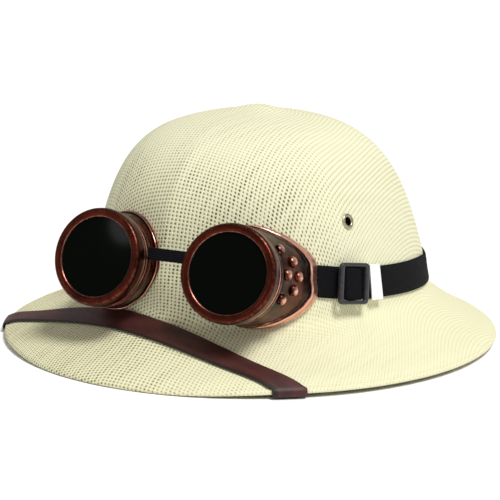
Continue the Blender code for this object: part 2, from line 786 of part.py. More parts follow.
def build_clip(surface, rows, metal):
    """Bright metal clip over the doubled end, turned in over both edges of the strap."""
    start = BUCKLE_FROM_WING + BUCKLE_LENGTH + CLIP_FROM_BUCKLE
    high = DOUBLED_HEIGHT + SEAT_GAP
    width = STRAP_WIDTH + 2 * (SEAT_GAP + CLIP_THICKNESS) + CLIP_MARGIN
    steps = 2
    spine = strap_patch(surface, rows, start, CLIP_LENGTH, steps)
    normals = grid_normals(spine, spine[0][STRAP_MIDDLE] - CROWN_AXIS)
    mesh_data = bmesh.new()
    rings = []
    for line, directions in zip(spine, normals):
        up = (line[-1] - line[0]).normalized()
        middle, outward = line[STRAP_MIDDLE], directions[STRAP_MIDDLE]
        outer, inner = width / 2, width / 2 - CLIP_THICKNESS
        low = SEAT_GAP
        section = ((-outer, low), (-outer, high + CLIP_THICKNESS), (outer, high + CLIP_THICKNESS),
                   (outer, low), (inner, low), (inner, high), (-inner, high), (-inner, low))
        rings.append([middle + up * across + outward * lift for across, lift in section])
    rows_made = closed_rings(mesh_data, rings)
    for end in (rows_made[0], rows_made[-1]):
        mesh_data.faces.new(end)
    return add_object("strap_clip", mesh_data, metal)


def wing_tip(edge, place):
    """Where the head strap starts: the angle just past a wing's tip, and its middle height."""
    def turn(point):
        return abs(atan2(point.x, -(point.y - CROWN_SET_BACK)))

    upright = place.inverted()
    beside = [point for point in edge
              if abs((upright @ point).y - STRAP_ON_WING) < STRAP_WIDTH and (upright @ point).x > 0]
    tip = max(beside, key=turn)
    local = upright @ tip
    return turn(tip), (place @ Vector((local.x, STRAP_ON_WING, local.z))).z


def build():
    for item in list(bpy.data.objects):
        bpy.data.objects.remove(item, do_unlink=True)
    mesh_weave = make_material("paper_mesh", (0.80, 0.76, 0.55), 0.85)
    brass = make_material("antique_brass", (0.32, 0.24, 0.12), 0.4, 0.9)
    copper = make_material("antique_copper", (0.23, 0.08, 0.05), 0.35, 0.6)
    glass = make_material("dark_lens", (0.01, 0.015, 0.012), 0.08)
    elastic = make_material("black_elastic", (0.012, 0.012, 0.016), 0.8)
    plastic = make_material("dark_plastic", (0.05, 0.05, 0.06), 0.35)
    metal = make_material("bright_metal", (0.85, 0.85, 0.86), 0.2, 1.0)
    leather = make_material("brown_leather", (0.10, 0.035, 0.025), 0.5)

    shell_mesh = build_shell_mesh()
    surface = BVHTree.FromBMesh(shell_mesh)
    shell = add_object("helmet_shell", shell_mesh, mesh_weave)
    build_eyelets(shell, surface, brass)

    chin_mesh = build_chin_strap(surface)
    chin_surface = BVHTree.FromBMesh(chin_mesh)
    add_object("chin_strap", chin_mesh, leather)

    places = goggle_places(surface)
    tips = []
    for side in ("left", "right"):
        place = places[side]
        edge = build_cup("goggle_cup_" + side, place, surface, chin_surface, copper)
        tips.append(wing_tip(edge, place))
        build_lens_ring("lens_ring_" + side, place, copper)
        build_lens("lens_" + side, place, glass)
    build_bridge(places, elastic)

    gap = 2 * SEAT_GAP / (CROWN_WIDTH / 2)
    starts = [(turn + gap, height) for turn, height in tips]
    rows = strap_stations(starts)
    build_head_strap(surface, rows, elastic)
    build_buckle(surface, rows, plastic)
    build_tail(surface, rows, elastic)
    build_clip(surface, rows, metal)


build()
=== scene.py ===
"""A cream woven pith helmet, with copper goggles strapped round its crown and a leather chin strap.

The helmet stands on its brim on the plane Z = 0 and faces -Y. The wearer's left is +X.
Angles round the helmet are measured from the front (-Y) towards the wearer's left (+X).
"""
from math import atan2, cos, exp, pi, radians, sin, sqrt

import bpy
from mathutils import Matrix, Vector
from mathutils.bvhtree import BVHTree
from mathutils.kdtree import KDTree


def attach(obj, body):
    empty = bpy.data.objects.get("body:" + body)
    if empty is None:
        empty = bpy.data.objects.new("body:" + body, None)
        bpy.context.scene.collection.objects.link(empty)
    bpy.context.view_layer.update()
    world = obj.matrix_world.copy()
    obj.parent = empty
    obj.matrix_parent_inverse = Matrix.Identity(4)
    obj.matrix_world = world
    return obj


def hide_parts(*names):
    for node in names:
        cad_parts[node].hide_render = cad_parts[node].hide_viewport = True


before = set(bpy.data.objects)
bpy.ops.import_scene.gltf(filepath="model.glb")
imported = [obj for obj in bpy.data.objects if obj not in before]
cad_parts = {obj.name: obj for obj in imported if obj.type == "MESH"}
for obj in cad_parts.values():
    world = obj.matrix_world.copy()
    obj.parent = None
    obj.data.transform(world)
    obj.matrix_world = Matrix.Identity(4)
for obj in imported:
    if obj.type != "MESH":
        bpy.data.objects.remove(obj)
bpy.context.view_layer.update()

# Helmet shell: one sheet of stiffened paper mesh, pressed hot over a block into crown and brim.
# Its six soft ridges meet in a low knob at the top, and its edge is turned down and in.
BRIM_WIDTH = 0.287
BRIM_LENGTH = 0.321
BRIM_SIDE_RISE = 0.0022
BRIM_SAG = 0.26
BRIM_ROLL = 0.0011
ROLL_POWER = 6
ROLL_SCALE = 17.6
CROWN_WIDTH = 0.192
CROWN_LENGTH = 0.2276
CROWN_SET_BACK = 0.007
CROWN_TOP_SHIFT = 0.0094
CROWN_LEAN = 0.12
JUNCTION_HEIGHT = 0.0278
HELMET_HEIGHT = 0.138
SHELL_WALL = 0.002
KNOB_HEIGHT = 0.0038
KNOB_RADIUS = 0.014
PANEL_RELIEF = 0.0022
CREASE_RELIEF = 0.0024
CREASE_SPREAD = 0.10
CREASE_LEAST = 0.4
CREASE_POWER = 6
RELIEF_START = 4
RIDGES = 6
FILLET = 0.0045
FILLET_CLEAR = 1.3
LIP_HEIGHT = 0.0028
LIP_THICKNESS = 0.0034
LIP_ROUND = 0.0006
PLAN_POWER = 2.13
DOME_POWER = 2.4
SHOULDER_POWER = 2.68
FRONT_REST_ANGLE = radians(12)
REAR_REST_ANGLE = radians(25)
FULL_RISE_ANGLE = radians(38)
SHELL_COLUMNS = 216
CROWN_ROWS = 46
FILLET_ROWS = 5
BRIM_ROWS = 22
UP = Vector((0, 0, 1))
CROWN_AXIS = Vector((0, CROWN_SET_BACK, 0))
REACH = 0.5
MERGE_DISTANCE = 1e-6


def heading(angle):
    """Level direction at an angle from the front, towards the wearer's left."""
    return Vector((sin(angle), -cos(angle), 0))


def smooth(share):
    share = min(max(share, 0), 1)
    return share * share * (3 - 2 * share)


def crown_radius(angle):
    across = abs(sin(angle)) / (CROWN_WIDTH / 2)
    along = abs(cos(angle)) / (CROWN_LENGTH / 2)
    return (across ** PLAN_POWER + along ** PLAN_POWER) ** (-1 / PLAN_POWER)


def edge_radius(angle):
    return ((sin(angle) / (BRIM_WIDTH / 2)) ** 2 + (cos(angle) / (BRIM_LENGTH / 2)) ** 2) ** -0.5


def edge_height(angle):
    """Height of the brim's lower edge: flat at the front and rear, raised at the sides."""
    turn = abs((angle + pi) % (2 * pi) - pi)
    rest = FRONT_REST_ANGLE
    if turn > pi / 2:
        turn = pi - turn
        rest = REAR_REST_ANGLE
    return BRIM_SIDE_RISE * smooth((turn - rest) / (FULL_RISE_ANGLE - rest))


def crown_point(angle, rise):
    """Point on the outside of the crown; rise is 0 at the brim and 1 at the top."""
    share = max(1 - rise ** DOME_POWER, 0) ** (1 / SHOULDER_POWER)
    share *= 1 - 2 * CROWN_LEAN * rise * (1 - rise)
    ridge = 2 / pi - abs(sin(RIDGES / 2 * angle))
    from_ridge = abs((angle + pi / RIDGES) % (2 * pi / RIDGES) - pi / RIDGES)
    forward = max(cos(angle), 0) ** CREASE_POWER
    crease = CREASE_RELIEF * (CREASE_LEAST + (1 - CREASE_LEAST) * forward)
    relief = PANEL_RELIEF * ridge + crease * exp(-from_ridge / CREASE_SPREAD)
    radius = crown_radius(angle) * share + relief * smooth(RELIEF_START * rise) * share
    dome = HELMET_HEIGHT - KNOB_HEIGHT - JUNCTION_HEIGHT
    height = JUNCTION_HEIGHT + dome * rise + KNOB_HEIGHT * exp(-(radius / KNOB_RADIUS) ** 2)
    return CROWN_AXIS + heading(angle) * radius + Vector((0, -CROWN_TOP_SHIFT * rise, height))


def lip_point(angle, inset, height):
    return heading(angle) * (edge_radius(angle) - inset) + UP * (edge_height(angle) + height)


def brim_point(angle, share):
    """Point on top of the brim, from the crown (0) to the start of the turned lip (1)."""
    inner = crown_point(angle, 0)
    outer = lip_point(angle, LIP_THICKNESS / 2, LIP_HEIGHT)
    point = inner.lerp(outer, share)
    point.z = inner.z + (outer.z - inner.z) * (share + BRIM_SAG * share * (1 - share))
    point.z += BRIM_ROLL * ROLL_SCALE * share ** ROLL_POWER * (1 - share)
    return point


def shell_column(angle):
    """Points down the outside of the helmet at one angle, from the top to the lip."""
    lowest = FILLET / (HELMET_HEIGHT - JUNCTION_HEIGHT)
    wall = []
    for row in range(CROWN_ROWS + 1):
        share = sin(pi / 2 * row / CROWN_ROWS)
        rise = (1 - share ** SHOULDER_POWER) ** (1 / DOME_POWER)
        if rise > FILLET_CLEAR * lowest:
            wall.append(crown_point(angle, rise))
    wall.append(crown_point(angle, lowest))
    corner = crown_point(angle, 0)
    start = FILLET / (brim_point(angle, 1) - corner).length
    first = brim_point(angle, start)
    curve = []
    for step in range(1, FILLET_ROWS):
        share = step / FILLET_ROWS
        curve.append(wall[-1].lerp(corner, share).lerp(corner.lerp(first, share), share))
    for row in range(BRIM_ROWS + 1):
        curve.append(brim_point(angle, start + (1 - start) * row / BRIM_ROWS))
    return wall + curve


def deselect():
    if bpy.context.object and bpy.context.object.mode != "OBJECT":
        bpy.ops.object.mode_set(mode="OBJECT")
    bpy.ops.object.select_all(action="DESELECT")


def choose(piece):
    deselect()
    piece.select_set(True)
    bpy.context.view_layer.objects.active = piece


def grid_piece(name, points, around=False, coordinates=None):
    """A grid primitive laid over rows of points; `around` closes each row into a loop.

    Coordinates, one pair for each point, take the place of the grid's own surface coordinates.
    """
    rows, columns = len(points), len(points[0])
    across = columns if around else columns - 1
    deselect()
    bpy.ops.mesh.primitive_grid_add(x_subdivisions=across, y_subdivisions=rows - 1, size=1)
    piece = bpy.context.object
    piece.name = piece.data.name = name
    for vertex in piece.data.vertices:
        column = round((vertex.co.x + 0.5) * across) % columns
        vertex.co = points[round((vertex.co.y + 0.5) * (rows - 1))][column]
    if coordinates:
        for corner in piece.data.uv_layers.active.data:
            column = round(corner.uv.x * across) % columns
            corner.uv = coordinates[round(corner.uv.y * (rows - 1))][column]
    return piece


def close_up(piece):
    """Merge the seam and the poles, and turn all faces outwards."""
    choose(piece)
    bpy.ops.object.mode_set(mode="EDIT")
    bpy.ops.mesh.select_all(action="SELECT")
    bpy.ops.mesh.remove_doubles(threshold=MERGE_DISTANCE)
    bpy.ops.mesh.normals_make_consistent(inside=False)
    bpy.ops.object.mode_set(mode="OBJECT")


def apply_modifier(piece, kind, **settings):
    choose(piece)
    modifier = piece.modifiers.new(kind.title(), kind)
    for name, value in settings.items():
        setattr(modifier, name, value)
    bpy.ops.object.modifier_apply(modifier=modifier.name)


def hand_over(piece, finish, slot, *nodes, sharp=35):
    """Shade a finished piece, give it its finish, and let it take its nodes' place."""
    choose(piece)
    bpy.ops.object.shade_smooth_by_angle(angle=radians(sharp))
    piece.data.materials.clear()
    piece.data.materials.append(finish)
    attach(piece, "root")
    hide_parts(*nodes)


class Wire:
    """An output of a shader node. Arithmetic on it adds Math nodes."""

    def __init__(self, tree, output=None):
        self.tree = tree
        self.output = output

    def add(self, kind, settings=None, values=None, output=0):
        """Add a node: its settings come first, then the values or wires of its sockets."""
        node = self.tree.nodes.new(kind)
        for key, value in (settings or {}).items():
            setattr(node, key, value)
        for key, value in (values or {}).items():
            if isinstance(value, Wire):
                self.tree.links.new(value.output, node.inputs[key])
            else:
                node.inputs[key].default_value = value
        return Wire(self.tree, node.outputs[output])

    def math(self, operation, *others):
        values = dict(enumerate((self, *others)))
        return self.add("ShaderNodeMath", {"operation": operation}, values)

    def __add__(self, other):
        return self.math("ADD", other)

    __radd__ = __add__

    def __mul__(self, other):
        return self.math("MULTIPLY", other)

    __rmul__ = __mul__

    def __sub__(self, other):
        return self.math("SUBTRACT", other)

    def __rsub__(self, other):
        return self.math("MULTIPLY_ADD", -1.0, other)

    def step(self, low, high):
        """0 up to the low value, 1 from the high one on, and smooth between."""
        values = {0: self, 1: low, 2: high, 3: 0.0, 4: 1.0}
        return self.add("ShaderNodeMapRange", {"interpolation_type": "SMOOTHSTEP"}, values)

    def mix(self, first, second):
        """Colour between two colours, with this value as the share of the second."""
        first = (*first, 1) if isinstance(first, tuple) else first
        second = (*second, 1) if isinstance(second, tuple) else second
        return self.add("ShaderNodeMix", {"data_type": "RGBA"}, {0: self, 6: first, 7: second}, 2)

    def spot(self):
        """The place of a point on the helmet."""
        return self.add("ShaderNodeTexCoord", None, None, "Object")

    def sheet(self):
        """The place of a point along and across its sheet or strap."""
        return self.add("ShaderNodeUVMap")

    def standing_out(self):
        """How far a point stands out of its surroundings."""
        return self.add("ShaderNodeAttribute", {"attribute_name": "stand_out"}, None, "Fac")

    def noise(self, spot, scale, detail=2.0, roughness=0.5):
        values = {"Vector": spot, "Scale": scale, "Detail": detail, "Roughness": roughness}
        return self.add("ShaderNodeTexNoise", None, values)

    def split(self, spot):
        """The three values of a place."""
        parts = self.add("ShaderNodeSeparateXYZ", None, {0: spot}).output.node
        return [Wire(self.tree, output) for output in parts.outputs]

    def join(self, first, second):
        """A place from two wires."""
        return self.add("ShaderNodeCombineXYZ", None, {0: first, 1: second})

    def stretched(self, spot, scale):
        """A place drawn out or pressed together along its three axes."""
        return self.add("ShaderNodeMapping", None, {"Vector": spot, "Scale": scale})

    def bump(self, height, strength, distance):
        values = {"Height": height, "Strength": strength, "Distance": distance}
        return self.add("ShaderNodeBump", None, values)


def new_finish(name, **sockets):
    """A material, the start for its wires, and its shader with what is the same all over."""
    finish = bpy.data.materials.new(name)
    finish.use_nodes = True
    shader = finish.node_tree.nodes["Principled BSDF"]
    for key, value in sockets.items():
        socket = shader.inputs[key.replace("_", " ").title().replace("Ior", "IOR")]
        socket.default_value = (*value, 1) if isinstance(value, tuple) else value
    return finish, Wire(finish.node_tree), shader


def connect(shader, **wires):
    tree = shader.id_data
    for key, wire in wires.items():
        tree.links.new(wire.output, shader.inputs[key.replace("_", " ").title()])


# Where the threads of the mesh run: the sheet lies a little askew, its threads crowd on the crown,
# and the press draws them down at its corners and apart on the brim.
THREAD_PITCH = 0.00242
SHEET_TURN = radians(8.8)
WARP_DRAW = 0.95
WARP_DRAW_POWER = 1.4
WEFT_DRAW = 1.29
WEFT_DRAW_POWER = 1.3
WARP_CROWDING = 0.19
WEFT_CROWDING = 0.08
CROWDED_RADIUS = 0.085
SPREAD_RADIUS = 0.120
WEFT_SKEW = 0.13


def thread_count(point, travelled):
    """Number of threads from the top to a point on the shell, each way."""
    level = Vector((point.x, point.y - CROWN_SET_BACK))
    radius = level.length
    turn = atan2(level.x, -level.y) - SHEET_TURN
    drawn = travelled - radius
    crowded = 1 - smooth((radius - CROWDED_RADIUS) / (SPREAD_RADIUS - CROWDED_RADIUS))
    warp = (radius + drawn * WARP_DRAW * abs(sin(turn)) ** WARP_DRAW_POWER) * sin(turn)
    weft = -(radius + drawn * WEFT_DRAW * abs(cos(turn)) ** WEFT_DRAW_POWER) * cos(turn)
    warp *= 1 + WARP_CROWDING * crowded * cos(turn) ** 2
    weft *= 1 + WEFT_CROWDING * crowded
    return warp / THREAD_PITCH, (weft + WEFT_SKEW * warp) / THREAD_PITCH


def face_tree(piece):
    """The faces of a piece, for rays to meet."""
    corners = [vertex.co.copy() for vertex in piece.data.vertices]
    return BVHTree.FromPolygons(corners, [tuple(face.vertices) for face in piece.data.polygons])


angles = [2 * pi * i / SHELL_COLUMNS for i in range(SHELL_COLUMNS)]
columns = [shell_column(angle) for angle in angles]
outside = [list(row) for row in zip(*columns)]
inside = []
for row in range(1, len(outside) - 1):
    ring = []
    for i, point in enumerate(outside[row]):
        around = outside[row][(i + 1) % SHELL_COLUMNS] - outside[row][i - 1]
        down = outside[row + 1][i] - outside[row - 1][i]
        ring.append(point - down.cross(around).normalized() * SHELL_WALL)
    inside.append(ring)
lip = (
    (LIP_THICKNESS * 0.30, LIP_HEIGHT - 0.15 * LIP_ROUND),
    (LIP_ROUND, LIP_HEIGHT - 0.8 * LIP_ROUND),
    (0.3 * LIP_ROUND, LIP_HEIGHT - 1.8 * LIP_ROUND),
    (0, LIP_HEIGHT - 3 * LIP_ROUND),
    (0, LIP_ROUND),
    (0.3 * LIP_ROUND, 0.3 * LIP_ROUND),
    (LIP_ROUND, 0),
    (LIP_THICKNESS - LIP_ROUND, 0),
    (LIP_THICKNESS - 0.3 * LIP_ROUND, 0.3 * LIP_ROUND),
    (LIP_THICKNESS, LIP_ROUND),
    (LIP_THICKNESS + LIP_ROUND, LIP_HEIGHT - SHELL_WALL),
)
edge = [[lip_point(angle, inset, height) for angle in angles] for inset, height in lip]
travel = [[0.0] * SHELL_COLUMNS]
for above, below in zip(outside + edge, (outside + edge)[1:]):
    travel.append([done + (b - a).length for done, a, b in zip(travel[-1], above, below)])
top = outside[0][0]
rings = outside + edge + inside[::-1] + [[top - UP * SHELL_WALL] * SHELL_COLUMNS]
lengths = travel + travel[1:len(outside) - 1][::-1] + [travel[0]]
threads = []
for ring, done in zip(rings, lengths):
    threads.append([thread_count(point, length) for point, length in zip(ring, done)])
shell = grid_piece("woven_shell", rings, around=True, coordinates=threads)
close_up(shell)
surface = face_tree(shell)

PAPER_PALE = (0.765, 0.755, 0.535)
PAPER_BRIM = (0.760, 0.735, 0.495)
PAPER_SHADE = (0.46, 0.42, 0.225)
HOLE_RIM_SHADE = (0.26, 0.220, 0.085)
HOLE_SHADE = (0.016, 0.012, 0.006)
BRIM_BELOW = (0.036, 0.028)
LEFT_SIDE = (0.03, 0.10)
LEFT_BRIM = (-0.02, 0.06)
CROWN_TOP = (0.096, 0.124)
FRONT_HALF = (0.0, -0.07)
HALF_WARP = 0.325
HALF_WEFT = 0.315
HOLE_GROWTH = 0.05
woven, start, shader = new_finish("woven_paper", roughness=0.8, specular_ior_level=0.25)
spot = start.spot()
warp, weft, _ = start.split(start.sheet())
leftwards, backwards, height = start.split(spot)
beside_warp = (warp.math("FRACT") - 0.5).math("ABSOLUTE")
beside_weft = (weft.math("FRACT") - 0.5).math("ABSOLUTE")
streak = start.noise(start.join(warp - 0.38 * weft, weft * 0.05), 0.75, 2.0)
band = start.noise(start.join(warp * 0.05, weft), 0.8, 2.0)
patch = start.noise(spot, 26.0, 2.0)
# The holes and the furrows between threads are drawn fainter at the top and on the left side
on_brim = height.step(*BRIM_BELOW)
weave_shown = (1 - 0.62 * leftwards.step(*LEFT_SIDE)) * (1 - 0.6 * height.step(*CROWN_TOP))
weave_contrast = weave_shown * (1 - 0.45 * on_brim * leftwards.step(*LEFT_BRIM))
open_share = backwards.step(*FRONT_HALF) * streak.step(0.44, 0.58) * patch.step(0.36, 0.56)
half_warp = HALF_WARP - HOLE_GROWTH * open_share - 0.10 * (streak - 0.5)
half_weft = HALF_WEFT - HOLE_GROWTH * open_share - 0.08 * (band - 0.5)
# The holes are drawn dark, as painted shade for the dim inside of the helmet seen through them
rim = (beside_warp - half_warp).step(-0.10, 0.06) * (beside_weft - half_weft).step(-0.10, 0.06)
core = (beside_warp - half_warp).step(0.0, 0.09) * (beside_weft - half_weft).step(0.0, 0.09)
inside_shade = (0.16 + open_share * (1 - 0.5 * on_brim)).math("MINIMUM", 1.0)
# Painted shade: the furrows between threads are drawn darker; fibre and streak noise vary the
# paper's own tone
furrow = beside_warp.step(0.22, 0.5) * 0.6 + beside_weft.step(0.22, 0.5) * 0.4
fibre = start.noise(start.join(warp * 6, weft * 1.2), 1.0, 2.0)
paper = (furrow * 0.7 + (fibre - 0.5) * 0.5 + (streak - 0.5) * 0.5).math("MAXIMUM", 0.0) * weave_contrast
mesh = (rim * weave_contrast).mix(paper.mix(on_brim.mix(PAPER_PALE, PAPER_BRIM), PAPER_SHADE), HOLE_RIM_SHADE)
colour = (core * inside_shade * weave_contrast).mix(mesh, HOLE_SHADE)
crossing = (warp * pi).math("COSINE") * (weft * pi).math("COSINE") * 0.15
relief = (1 - beside_warp * 2).math("MAXIMUM", (1 - beside_weft * 2) * 0.85) + crossing
connect(shader, base_color=colour, normal=start.bump(relief * weave_contrast, 0.55, 0.0007))

# Vent eyelets: a brass eyelet on each side of the crown lets air through. Its barrel goes through a
# hole punched in the mesh, and both its ends are rolled over against the shell.
EYELET_ANGLE = radians(61.9)
EYELET_RISE = 0.0535
EYELET_FLANGE_DIAMETER = 0.009
EYELET_BARREL_DIAMETER = 0.0062
EYELET_BORE = 0.005
EYELET_FLANGE = 0.0008
EYELET_SIDES = 48
EYELET_STAND_REACH = 0.0006
ROLL_STEPS = 8
SEAT_GAP = 0.00035


def outer_hit(angle, height):
    """Point and normal of the crown's outside at an angle round it and a height."""
    start = CROWN_AXIS + heading(angle) * REACH + UP * height
    point, normal, _, _ = surface.ray_cast(start, -heading(angle))
    return point, normal


def look_along(origin, forward):
    """Frame with its Z axis along `forward`, its X axis level and its Y axis upwards."""
    side = UP.cross(forward).normalized()
    up = forward.cross(side)
    return Matrix.Translation(origin) @ Matrix((side, up, forward)).transposed().to_4x4()


def turned(name, profile, sides):
    """A circle extruded and resized along a closed profile of (radius, depth) round the Z axis."""
    radius, depth = profile[0]
    deselect()
    bpy.ops.mesh.primitive_circle_add(vertices=sides, radius=radius)
    piece = bpy.context.object
    piece.name = piece.data.name = name
    bpy.ops.object.mode_set(mode="EDIT")
    bpy.ops.mesh.select_all(action="SELECT")
    bpy.ops.transform.translate(value=(0, 0, depth))
    for next_radius, next_depth in profile[1:] + profile[:1]:
        bpy.ops.mesh.extrude_region_move()
        bpy.ops.transform.translate(value=(0, 0, next_depth - depth))
        size = next_radius / radius
        bpy.ops.transform.resize(value=(size, size, 1), center_override=(0, 0, 0))
        radius, depth = next_radius, next_depth
    close_up(piece)
    return piece


def set_copy(model, name, place):
    """A copy of a model with a mesh of its own, set in its place."""
    choose(model)
    bpy.ops.object.duplicate()
    piece = bpy.context.object
    piece.name = piece.data.name = name
    piece.matrix_world = place
    bpy.ops.object.transform_apply(location=True, rotation=True, scale=True)
    close_up(piece)
    return piece


def mark_standing_out(piece, reach):
    """Store how far each corner stands out of its surroundings, or how deep it lies in them."""
    corners = piece.data.vertices
    tree = KDTree(len(corners))
    for corner in corners:
        tree.insert(corner.co, corner.index)
    tree.balance()
    standing_out = []
    for corner in corners:
        near = [point for point, _, _ in tree.find_range(corner.co, reach)]
        middle = sum(near, Vector()) / len(near)
        standing_out.append((corner.co - middle).dot(corner.normal) / reach)
    piece.data.attributes.new("stand_out", "FLOAT", "POINT").data.foreach_set("value", standing_out)


BRASS_BRIGHT = (0.62, 0.57, 0.40)
BRASS_DARK = (0.012, 0.009, 0.006)
brass, start, shader = new_finish("antique_brass", metallic=0.92, specular_ior_level=0.15)
patina = start.noise(start.spot(), 900.0, 3.0)
# Bright where the brass stands out and is worn; dark in the bore and hollows, as patina with
# painted shade
wear_and_shade = (start.standing_out() * 5 + patina * 0.5).step(0.27, 0.70)
connect(shader, base_color=wear_and_shade.mix(BRASS_DARK, BRASS_BRIGHT), roughness=0.5 - 0.2 * wear_and_shade)

flange, barrel, bore = EYELET_FLANGE_DIAMETER / 2, EYELET_BARREL_DIAMETER / 2, EYELET_BORE / 2
middle, roll = (flange + bore) / 2, (flange - bore) / 2
outer_roll, inner_roll = [], []
for step in range(ROLL_STEPS + 1):
    turn = pi * step / ROLL_STEPS
    outer_roll.append((middle + roll * cos(turn), SEAT_GAP + EYELET_FLANGE * sin(turn)))
    inner_roll.append((middle - roll * cos(turn),
                       -SHELL_WALL - SEAT_GAP - EYELET_FLANGE * sin(turn)))
inside_bore = [(bore, -SHELL_WALL * 0.2), (bore, -SHELL_WALL * 0.8)]
outside_barrel = [(barrel, -SHELL_WALL - SEAT_GAP), (barrel, SEAT_GAP)]
profile = outer_roll + inside_bore + inner_roll + outside_barrel
model = turned("eyelet", profile, EYELET_SIDES)
mark_standing_out(model, EYELET_STAND_REACH)
for side, angle in (("left", EYELET_ANGLE), ("right", -EYELET_ANGLE)):
    point, normal = outer_hit(angle, JUNCTION_HEIGHT + EYELET_RISE)
    place = look_along(point, normal)
    eyelet = set_copy(model, "eyelet_" + side, place)
    hand_over(eyelet, brass, "antique_brass", "vent_eyelet_" + side)
    deselect()
    bpy.ops.mesh.primitive_cylinder_add(vertices=EYELET_SIDES, radius=barrel + SEAT_GAP,
                                        depth=8 * SHELL_WALL)
    punch = bpy.context.object
    punch.matrix_world = place
    apply_modifier(shell, "BOOLEAN", operation="DIFFERENCE", object=punch)
    bpy.data.objects.remove(punch, do_unlink=True)
bpy.data.objects.remove(model, do_unlink=True)
hand_over(shell, woven, "woven_shell", "helmet_shell")

# Chin strap: brown leather cut in a flat strip, with painted shade along its lower edge. Parked
# over the front of the brim, it goes round the brim's edge on both sides and back to its fixed ends
# underneath.
CHIN_WIDTH = 0.0134
CHIN_THICKNESS = 0.0012
CHIN_LEFT_ANGLE = radians(37.8)
CHIN_RIGHT_ANGLE = radians(-54)
CHIN_BOW = 0.0094
CHIN_ANCHOR_ANGLE = radians(91)
CHIN_ANCHOR_OUTSET = 0.009
CHIN_ANCHOR_LENGTH = 0.020
CHIN_STEPS = 90
CHIN_MARGIN = 0.012
CHIN_ANCHOR_STEPS = 7
CHIN_FREE_STEPS = 20
STRAP_GAP = 0.0006
ROUNDED_FROM = 0.44
ROUNDED_DRAW = 0.38
ROUNDED_POWER = 2.5
TO_CM = 100
ACROSS = (-0.5, -0.485, -0.45, -0.38, -0.25, -0.125, 0, 0.125, 0.25, 0.38, 0.45, 0.485, 0.5)


def grid_normals(grid, outward):
    """Unit normals of an open grid of points, on the side that the direction `outward` faces."""
    rows, columns = len(grid), len(grid[0])
    normals = []
    for i in range(rows):
        line = []
        for j in range(columns):
            along = grid[min(i + 1, rows - 1)][j] - grid[max(i - 1, 0)][j]
            across = grid[i][min(j + 1, columns - 1)] - grid[i][max(j - 1, 0)]
            line.append(along.cross(across).normalized())
        normals.append(line)
    middle = normals[rows // 2][columns // 2]
    sign = 1 if middle.dot(outward) > 0 else -1
    return [[normal * sign for normal in line] for line in normals]


def roundness(share, thickness):
    """How far a strap's faces draw in at a share of its width, for rounded edges."""
    past = max(abs(share) - ROUNDED_FROM, 0) / (0.5 - ROUNDED_FROM)
    return ROUNDED_DRAW * thickness * past ** ROUNDED_POWER


def face_line(line, directions, height, thickness):
    """Line across a strap's face; a minus thickness draws its edges in downwards."""
    return [point + normal * (height + roundness(share, thickness))
            for point, normal, share in zip(line, directions, ACROSS)]


def band_piece(name, low, high, coordinates):
    """Closed band between two grids of points, with one row for each station along it."""
    rings = [inner + outer[::-1] for inner, outer in zip(low, high)]
    pairs = [line + line[::-1] for line in coordinates]
    caps = []
    for end in (0, -1):
        middle = [(inner + outer) / 2 for inner, outer in zip(low[end], high[end])]
        caps.append(middle + middle[::-1])
    piece = grid_piece(name, [caps[0], *rings, caps[1]], True, [pairs[0], *pairs, pairs[-1]])
    close_up(piece)
    return piece


def strap_piece(name, grid, outward, gap, thickness):
    """Strap with rounded edges that lies on a grid of points at a gap."""
    normals = grid_normals(grid, outward)
    low, high, coordinates = [], [], []
    travelled = 0
    for i, (line, directions) in enumerate(zip(grid, normals)):
        if i:
            travelled += (line[len(line) // 2] - grid[i - 1][len(line) // 2]).length
        width = sum((b - a).length for a, b in zip(line, line[1:]))
        low.append(face_line(line, directions, gap, thickness))
        high.append(face_line(line, directions, gap + thickness, -thickness))
        coordinates.append([(travelled * TO_CM, share * width * TO_CM) for share in ACROSS])
    return band_piece(name, low, high, coordinates)


def edge_crossing(start, direction):
    """Distance along a level line at which it crosses the brim's outer edge."""
    width, length = BRIM_WIDTH / 2, BRIM_LENGTH / 2
    a = (direction.x / width) ** 2 + (direction.y / length) ** 2
    b = start.x * direction.x / width ** 2 + start.y * direction.y / length ** 2
    c = (start.x / width) ** 2 + (start.y / length) ** 2 - 1
    return (sqrt(b * b - a * c) - b) / a


